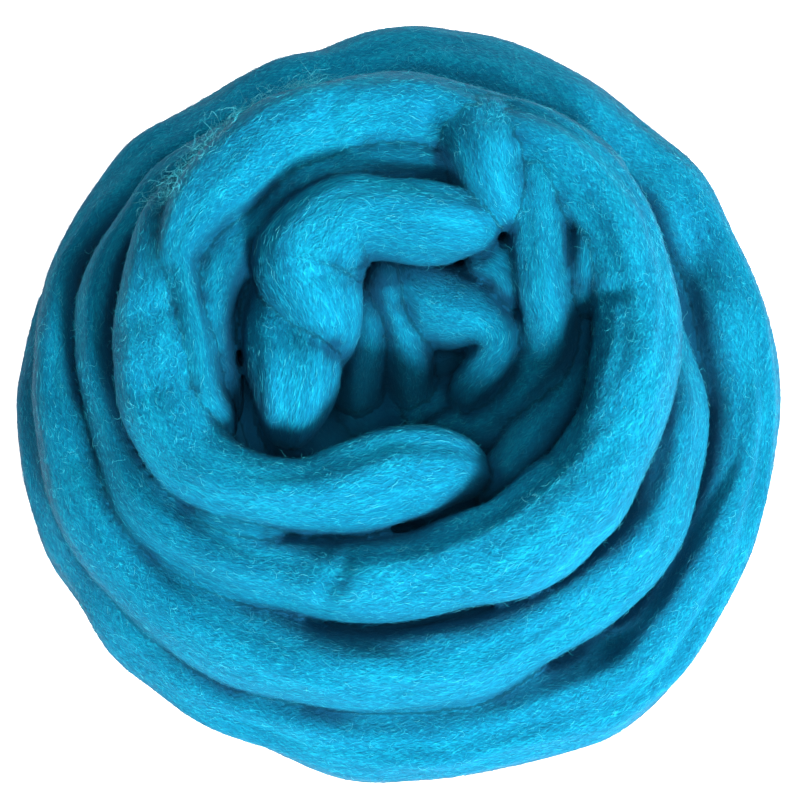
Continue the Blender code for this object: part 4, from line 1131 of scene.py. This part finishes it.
# %% Lay the fibres
COAT_SEED = 100
Coat = namedtuple(
    "Coat",
    "name wanted count rings shortest longest spread bend lift curl curls thinnest thickest darkest lightest",
)
COATS = [
    Coat(
        name="lying_fibres_1", wanted=anywhere, count=16600, rings=2,
        shortest=0.0024, longest=0.0052, spread=0.32, bend=0.5, lift=0.00016, curl=0, curls=1,
        thinnest=0.00007, thickest=0.00012, darkest=0.0, lightest=0.75,
    ),
    Coat(
        name="lying_fibres_2", wanted=anywhere, count=16600, rings=2,
        shortest=0.0016, longest=0.0036, spread=0.45, bend=0.7, lift=0.00022, curl=0, curls=1,
        thinnest=0.00006, thickest=0.00011, darkest=0.2, lightest=0.85,
    ),
    Coat(
        name="lying_fibres_3", wanted=anywhere, count=11000, rings=3,
        shortest=0.0022, longest=0.0042, spread=0.6, bend=0.9, lift=0.00030, curl=0.00014, curls=1.2,
        thinnest=0.00006, thickest=0.00010, darkest=0.4, lightest=0.95,
    ),
    Coat(
        name="fuzz_fibres", wanted=off_the_table, count=4000, rings=7,
        shortest=0.0026, longest=0.0054, spread=0.8, bend=1.3, lift=0.00075, curl=0.00024, curls=1.8,
        thinnest=0.00006, thickest=0.00008, darkest=0.5, lightest=1.0,
    ),
    Coat(
        name="flyaway_fibres", wanted=far_edge_of_top, count=280, rings=12,
        shortest=0.0050, longest=0.0130, spread=1.5, bend=1.6, lift=0.00240, curl=0.00120, curls=2.6,
        thinnest=0.00007, thickest=0.00010, darkest=0.8, lightest=1.0,
    ),
]
coats = []
for number, coat in enumerate(COATS):
    rng = np.random.default_rng(COAT_SEED + number)
    piece = plain_fibres(coat.name, coat.count, coat.rings)
    paths = fibre_paths(coat, rng)
    bend_fibres(
        piece,
        paths,
        rng.uniform(coat.thinnest, coat.thickest, coat.count),
        rng.uniform(coat.darkest, coat.lightest, coat.count),
        openness(paths[:, paths.shape[1] // 2]),
    )
    coats.append(piece)

# %% [markdown]
# ## The dyed wool
# The strand's skin shows many more fibres than can be modelled, so its material draws the rest: noise
# that is stretched along the strand and squeezed round it gives streaks, which set both the colour and a
# fine bump. Combed fibres still cross each other, so two sets of streaks are laid, one twisted a little
# to the left and one to the right. They read the strand's own measure, kept on each vertex as "place",
# so they follow every bend. The group of nodes is made once, and a wool material places it.

# %% Helpers for nodes
def new_group(name, inputs, outputs):
    group = bpy.data.node_groups.new(name, "ShaderNodeTree")
    for label, kind, value in inputs:
        socket = group.interface.new_socket(label, in_out="INPUT", socket_type=kind)
        if value is not None:
            socket.default_value = value
    for label, kind in outputs:
        group.interface.new_socket(label, in_out="OUTPUT", socket_type=kind)
    return group, group.nodes.new("NodeGroupInput"), group.nodes.new("NodeGroupOutput")


def add_node(tree, kind, operation=None, **values):
    node = tree.nodes.new(kind)
    if operation:
        node.operation = operation
    for label, value in values.items():
        node.inputs[label.replace("_", " ")].default_value = value
    return node


def calculate(tree, operation, first, second, third=None):
    node = add_node(tree, "ShaderNodeMath", operation)
    for socket, value in zip(node.inputs, (first, second, third)):
        if isinstance(value, (int, float)):
            socket.default_value = value
        elif value is not None:
            tree.links.new(value, socket)
    return node.outputs[0]


print("helpers for nodes:", new_group.__name__, add_node.__name__, calculate.__name__)


# %% One set of streaks
def streaks(tree, place, across, along, twist, shift):
    link = tree.links.new
    parts = add_node(tree, "ShaderNodeSeparateXYZ")
    link(place, parts.inputs[0])
    spun = add_node(tree, "ShaderNodeVectorRotate")
    spun.rotation_type = "X_AXIS"
    link(place, spun.inputs["Vector"])
    link(calculate(tree, "MULTIPLY", parts.outputs["X"], twist), spun.inputs["Angle"])
    stretch = add_node(tree, "ShaderNodeCombineXYZ")
    link(along, stretch.inputs["X"])
    link(across, stretch.inputs["Y"])
    link(across, stretch.inputs["Z"])
    scaled = add_node(tree, "ShaderNodeVectorMath", "MULTIPLY_ADD")
    link(spun.outputs[0], scaled.inputs[0])
    link(stretch.outputs[0], scaled.inputs[1])
    scaled.inputs[2].default_value = (shift, shift, shift)
    lines = add_node(tree, "ShaderNodeTexNoise", Scale=1.0, Detail=4.0, Roughness=0.75)
    link(scaled.outputs[0], lines.inputs["Vector"])
    return lines.outputs["Fac"]


# %% Two sets, crossed
LEFT_SHIFT, RIGHT_SHIFT = 0.0, 31.7
PATCH_STRETCH = (34.0, 150.0, 150.0)


def combed_grain():
    group, given, result = new_group(
        "combed_grain",
        [
            ("Place", "NodeSocketVector", None),
            ("Across", "NodeSocketFloat", 1450.0),
            ("Along", "NodeSocketFloat", 460.0),
            ("Sway", "NodeSocketFloat", 0.0012),
            ("Twist", "NodeSocketFloat", 24.0),
        ],
        [("Streak", "NodeSocketFloat"), ("Hair", "NodeSocketFloat"), ("Patch", "NodeSocketFloat")],
    )
    link = group.links.new
    sway = add_node(group, "ShaderNodeTexNoise", Scale=260.0, Detail=2.0)
    link(given.outputs["Place"], sway.inputs["Vector"])
    centred = add_node(group, "ShaderNodeVectorMath", "SUBTRACT")
    centred.inputs[1].default_value = (0.5, 0.5, 0.5)
    link(sway.outputs["Color"], centred.inputs[0])
    moved = add_node(group, "ShaderNodeVectorMath", "SCALE")
    link(centred.outputs[0], moved.inputs[0])
    link(given.outputs["Sway"], moved.inputs["Scale"])
    bent = add_node(group, "ShaderNodeVectorMath", "ADD")
    link(given.outputs["Place"], bent.inputs[0])
    link(moved.outputs[0], bent.inputs[1])
    across, along, twist = (given.outputs[name] for name in ("Across", "Along", "Twist"))
    left = streaks(group, bent.outputs[0], across, along, twist, LEFT_SHIFT)
    back = calculate(group, "MULTIPLY", twist, -1.0)
    right = streaks(group, bent.outputs[0], across, along, back, RIGHT_SHIFT)
    both = calculate(group, "MULTIPLY_ADD", left, 0.5, calculate(group, "MULTIPLY", right, 0.5))
    spread = add_node(group, "ShaderNodeMapRange", From_Min=0.34, From_Max=0.66)
    link(both, spread.inputs["Value"])
    hairs = add_node(group, "ShaderNodeMapRange", From_Min=0.62, From_Max=0.76)
    link(calculate(group, "MAXIMUM", left, right), hairs.inputs["Value"])
    drawn = add_node(group, "ShaderNodeVectorMath", "MULTIPLY")
    drawn.inputs[1].default_value = PATCH_STRETCH
    link(given.outputs["Place"], drawn.inputs[0])
    patch = add_node(group, "ShaderNodeTexNoise", Scale=1.0, Detail=4.0, Roughness=0.6)
    link(drawn.outputs[0], patch.inputs["Vector"])
    link(spread.outputs["Result"], result.inputs["Streak"])
    link(hairs.outputs["Result"], result.inputs["Hair"])
    link(patch.outputs["Fac"], result.inputs["Patch"])
    return group


grain = combed_grain()
print("combed_grain has", len(grain.nodes), "nodes")

# %% [markdown]
# The dye is a deep sea blue. It looks darker between the fibres and lighter on the hairs that lie on
# top, and it took a little unevenly, in soft streaks a few centimetres long. Where a spot lies sheltered,
# painted shade, a darker blue, is mixed in, by the share kept as "open". Wool is dull, with a faint sheen.

# %% The dyes, and the painted shade
SHADOW_DYE = (0.001, 0.085, 0.185, 1.0)
DYE = (0.001, 0.195, 0.345, 1.0)
LIGHT_DYE = (0.003, 0.405, 0.590, 1.0)
HAIR_DYE = (0.030, 0.620, 0.780, 1.0)
STRAY_DYE = (0.110, 0.720, 0.820, 1.0)
SHEEN_DYE = (0.03, 0.70, 1.0, 1.0)
# painted shade: the dark blue mixed in where a spot lies sheltered between the turns
PAINTED_CREVICE_SHADE = (0.001, 0.050, 0.114, 1.0)
SKIN_DYES = [(0.18, SHADOW_DYE), (0.5, DYE), (0.82, LIGHT_DYE)]
FIBRE_DYES = [(0.0, SHADOW_DYE), (0.35, DYE), (0.55, LIGHT_DYE), (0.8, HAIR_DYE), (1.0, STRAY_DYE)]
# how open a spot lies where the painted shade begins to fade, and where it is gone
PAINTED_SHADE_RANGE = {"From Min": 0.22, "From Max": 0.98, "To Min": 0.0, "To Max": 1.0}
print("the dye, in linear red, green and blue:", DYE[:3])

# %% [markdown]
# A Mix node has sockets for numbers, vectors and colours. In colour mode its share is socket 0, its two
# colours are sockets 6 and 7, and the colour it puts out is output 2.

# %% Nodes that both materials use
COLOUR_SOCKETS = (0, 6, 7)
MIXED_COLOUR = 2
SHEEN_ROUGHNESS = 0.5


def attribute(nodes, name):
    node = nodes.new("ShaderNodeAttribute")
    node.attribute_name = name
    return node


def ramp(nodes, stops):
    node = nodes.new("ShaderNodeValToRGB")
    elements = node.color_ramp.elements
    while len(elements) > 1:
        elements.remove(elements[-1])
    elements[0].position, elements[0].color = stops[0]
    for position, colour in stops[1:]:
        element = elements.new(position)
        element.color = colour
    return node


def mixed(tree, share, under, over):
    node = tree.nodes.new("ShaderNodeMix")
    node.data_type = "RGBA"
    for number, value in zip(COLOUR_SOCKETS, (share, under, over)):
        if isinstance(value, tuple):
            node.inputs[number].default_value = value
        else:
            tree.links.new(value, node.inputs[number])
    return node.outputs[MIXED_COLOUR]


# mixes painted shade into a colour, the more the less open its spot lies
def sheltered(tree, colour):
    shelter = add_node(tree, "ShaderNodeMapRange")
    shelter.interpolation_type = "SMOOTHSTEP"
    for label, value in PAINTED_SHADE_RANGE.items():
        shelter.inputs[label].default_value = value
    tree.links.new(attribute(tree.nodes, "open").outputs["Fac"], shelter.inputs["Value"])
    return mixed(tree, shelter.outputs["Result"], PAINTED_CREVICE_SHADE, colour)


def wool_material(name, roughness, specular, sheen):
    material = bpy.data.materials.new(name)
    material.use_nodes = True
    shader = material.node_tree.nodes["Principled BSDF"]
    shader.inputs["Roughness"].default_value = roughness
    shader.inputs["Specular IOR Level"].default_value = specular
    shader.inputs["Sheen Weight"].default_value = sheen
    shader.inputs["Sheen Roughness"].default_value = SHEEN_ROUGHNESS
    shader.inputs["Sheen Tint"].default_value = SHEEN_DYE
    return material, material.node_tree, shader


print("a sheltered spot is one that is less than", PAINTED_SHADE_RANGE["From Max"], "open")

# %% The strand's wool and the loose fibres
STREAK_SHARE, PATCH_SHARE = 0.48, 0.52
HAIR_SHARE = 0.7
GRAIN_HEIGHT = 0.0007


def combed_wool():
    material, tree, shader = wool_material("combed_wool", roughness=0.65, specular=0.06, sheen=0.05)
    link = tree.links.new
    wool = tree.nodes.new("ShaderNodeGroup")
    wool.node_tree = grain
    link(attribute(tree.nodes, "place").outputs["Vector"], wool.inputs["Place"])
    patch = calculate(tree, "MULTIPLY", wool.outputs["Patch"], PATCH_SHARE)
    tone = calculate(tree, "MULTIPLY_ADD", wool.outputs["Streak"], STREAK_SHARE, patch)
    colours = ramp(tree.nodes, SKIN_DYES)
    link(tone, colours.inputs["Fac"])
    hair = calculate(tree, "MULTIPLY", wool.outputs["Hair"], HAIR_SHARE)
    dyed = mixed(tree, hair, colours.outputs["Color"], HAIR_DYE)
    # painted shade is mixed in where the skin lies sheltered
    link(sheltered(tree, dyed), shader.inputs["Base Color"])
    bump = add_node(tree, "ShaderNodeBump", Strength=1.0, Distance=GRAIN_HEIGHT)
    link(wool.outputs["Streak"], bump.inputs["Height"])
    link(bump.outputs["Normal"], shader.inputs["Normal"])
    return material


def fibre_wool():
    material, tree, shader = wool_material("fibre_wool", roughness=0.6, specular=0.14, sheen=0.1)
    colours = ramp(tree.nodes, FIBRE_DYES)
    tree.links.new(attribute(tree.nodes, "shade").outputs["Fac"], colours.inputs["Fac"])
    # painted shade is mixed in where a fibre lies sheltered
    tree.links.new(sheltered(tree, colours.outputs["Color"]), shader.inputs["Base Color"])
    return material


combed = combed_wool()
loose = fibre_wool()
nest.data.materials.append(combed)
for piece in coats:
    piece.data.materials.append(loose)
print("materials:", combed.name, loose.name)

# %% [markdown]
# ## Into the frame
# Every piece rides on the part's one body, and stands for the plain solid that carries the weight.

# %% Ride and replace
for piece in (nest, *coats):
    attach(piece, "root")
    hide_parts("roving")
triangles = [count_triangles(piece.data) for piece in (nest, *coats)]
print("triangles in the skin and the coats of fibres", triangles, "and in all", sum(triangles))

# %% [markdown]
# ## Table, light and camera
# A white table, one large soft light low from the front right, weaker ones from the right, from behind
# and from above, and very little fill. The main light is low, so that each turn shades the one behind it
# and the hollow stays dark. The lamps' directions and powers were found by trial.

# %% The table
TABLE_WIDTH = 6
bpy.ops.mesh.primitive_plane_add(size=TABLE_WIDTH, location=(0, 0, 0))
table = bpy.context.object
table.name = "table_top"
PALE_PAINT = {
    "Base Color": (0.9, 0.9, 0.9, 1),
    "Roughness": 0.9,
    "Emission Color": (1, 1, 1, 1),
    "Emission Strength": 0.8,
}
paint = bpy.data.materials.new("pale_table")
paint.use_nodes = True
for label, value in PALE_PAINT.items():
    paint.node_tree.nodes["Principled BSDF"].inputs[label].default_value = value
table.data.materials.append(paint)
print("table", round(table.dimensions.x, 2), "m wide")

# %% The lights
AIM = Vector((0.0003, -0.0062, 0.030))


def soft_light(name, place, size, watts):
    lamp = bpy.data.lights.new(name, "AREA")
    lamp.shape = "DISK"
    lamp.size = size
    lamp.energy = watts
    holder = bpy.data.objects.new(name, lamp)
    bpy.context.scene.collection.objects.link(holder)
    holder.location = place
    holder.rotation_euler = (AIM - Vector(place)).to_track_quat("-Z", "Y").to_euler()


Lamp = namedtuple("Lamp", "name turned raised away size watts")
LAMPS = [
    Lamp("key_light", -63, 27, 2.4, 0.65, 182),
    Lamp("side_light", 6, 26, 2.4, 0.9, 46),
    Lamp("back_light", 62, 36, 2.4, 0.9, 16),
    Lamp("top_light", -90, 78, 2.4, 1.0, 40),
]
ROOM_LIGHT = 0.03
for lamp in LAMPS:
    turned, raised = math.radians(lamp.turned), math.radians(lamp.raised)
    level = Vector((math.cos(turned), math.sin(turned), 0)) * math.cos(raised)
    soft_light(lamp.name, AIM + lamp.away * (level + Vector((0, 0, math.sin(raised)))), lamp.size, lamp.watts)
world = bpy.data.worlds.new("soft_room")
world.use_nodes = True
world.node_tree.nodes["Background"].inputs["Color"].default_value = (1.0, 1.0, 1.0, 1.0)
world.node_tree.nodes["Background"].inputs["Strength"].default_value = ROOM_LIGHT
bpy.context.scene.world = world
print(len(LAMPS), "lamps of", sum(lamp.watts for lamp in LAMPS), "watts in all")

# %% [markdown]
# The camera stands 0.70 m away and 78 degrees up. Its lens follows from the size that one pixel has to
# show at the nest's middle.

# %% The camera
DISTANCE = 0.70
FILM_WIDTH = 36
ELEVATION = math.radians(78)
PIXELS_ACROSS = 800
PIXEL_AT_AIM = 0.000328
NEAREST_SEEN = 0.01
lens = bpy.data.cameras.new("camera")
camera = bpy.data.objects.new("camera", lens)
bpy.context.scene.collection.objects.link(camera)
camera.location = AIM + DISTANCE * Vector((0, -math.cos(ELEVATION), math.sin(ELEVATION)))
camera.rotation_euler = (AIM - camera.location).to_track_quat("-Z", "Y").to_euler()
lens.sensor_width = FILM_WIDTH
lens.lens = FILM_WIDTH * DISTANCE / (PIXEL_AT_AIM * PIXELS_ACROSS)
lens.shift_x = 1 / PIXELS_ACROSS
lens.clip_start = NEAREST_SEEN
bpy.context.scene.camera = camera
bpy.context.scene.view_settings.view_transform = "Standard"
print("camera at", [round(v, 3) for v in camera.location], "lens", round(lens.lens, 1), "mm")
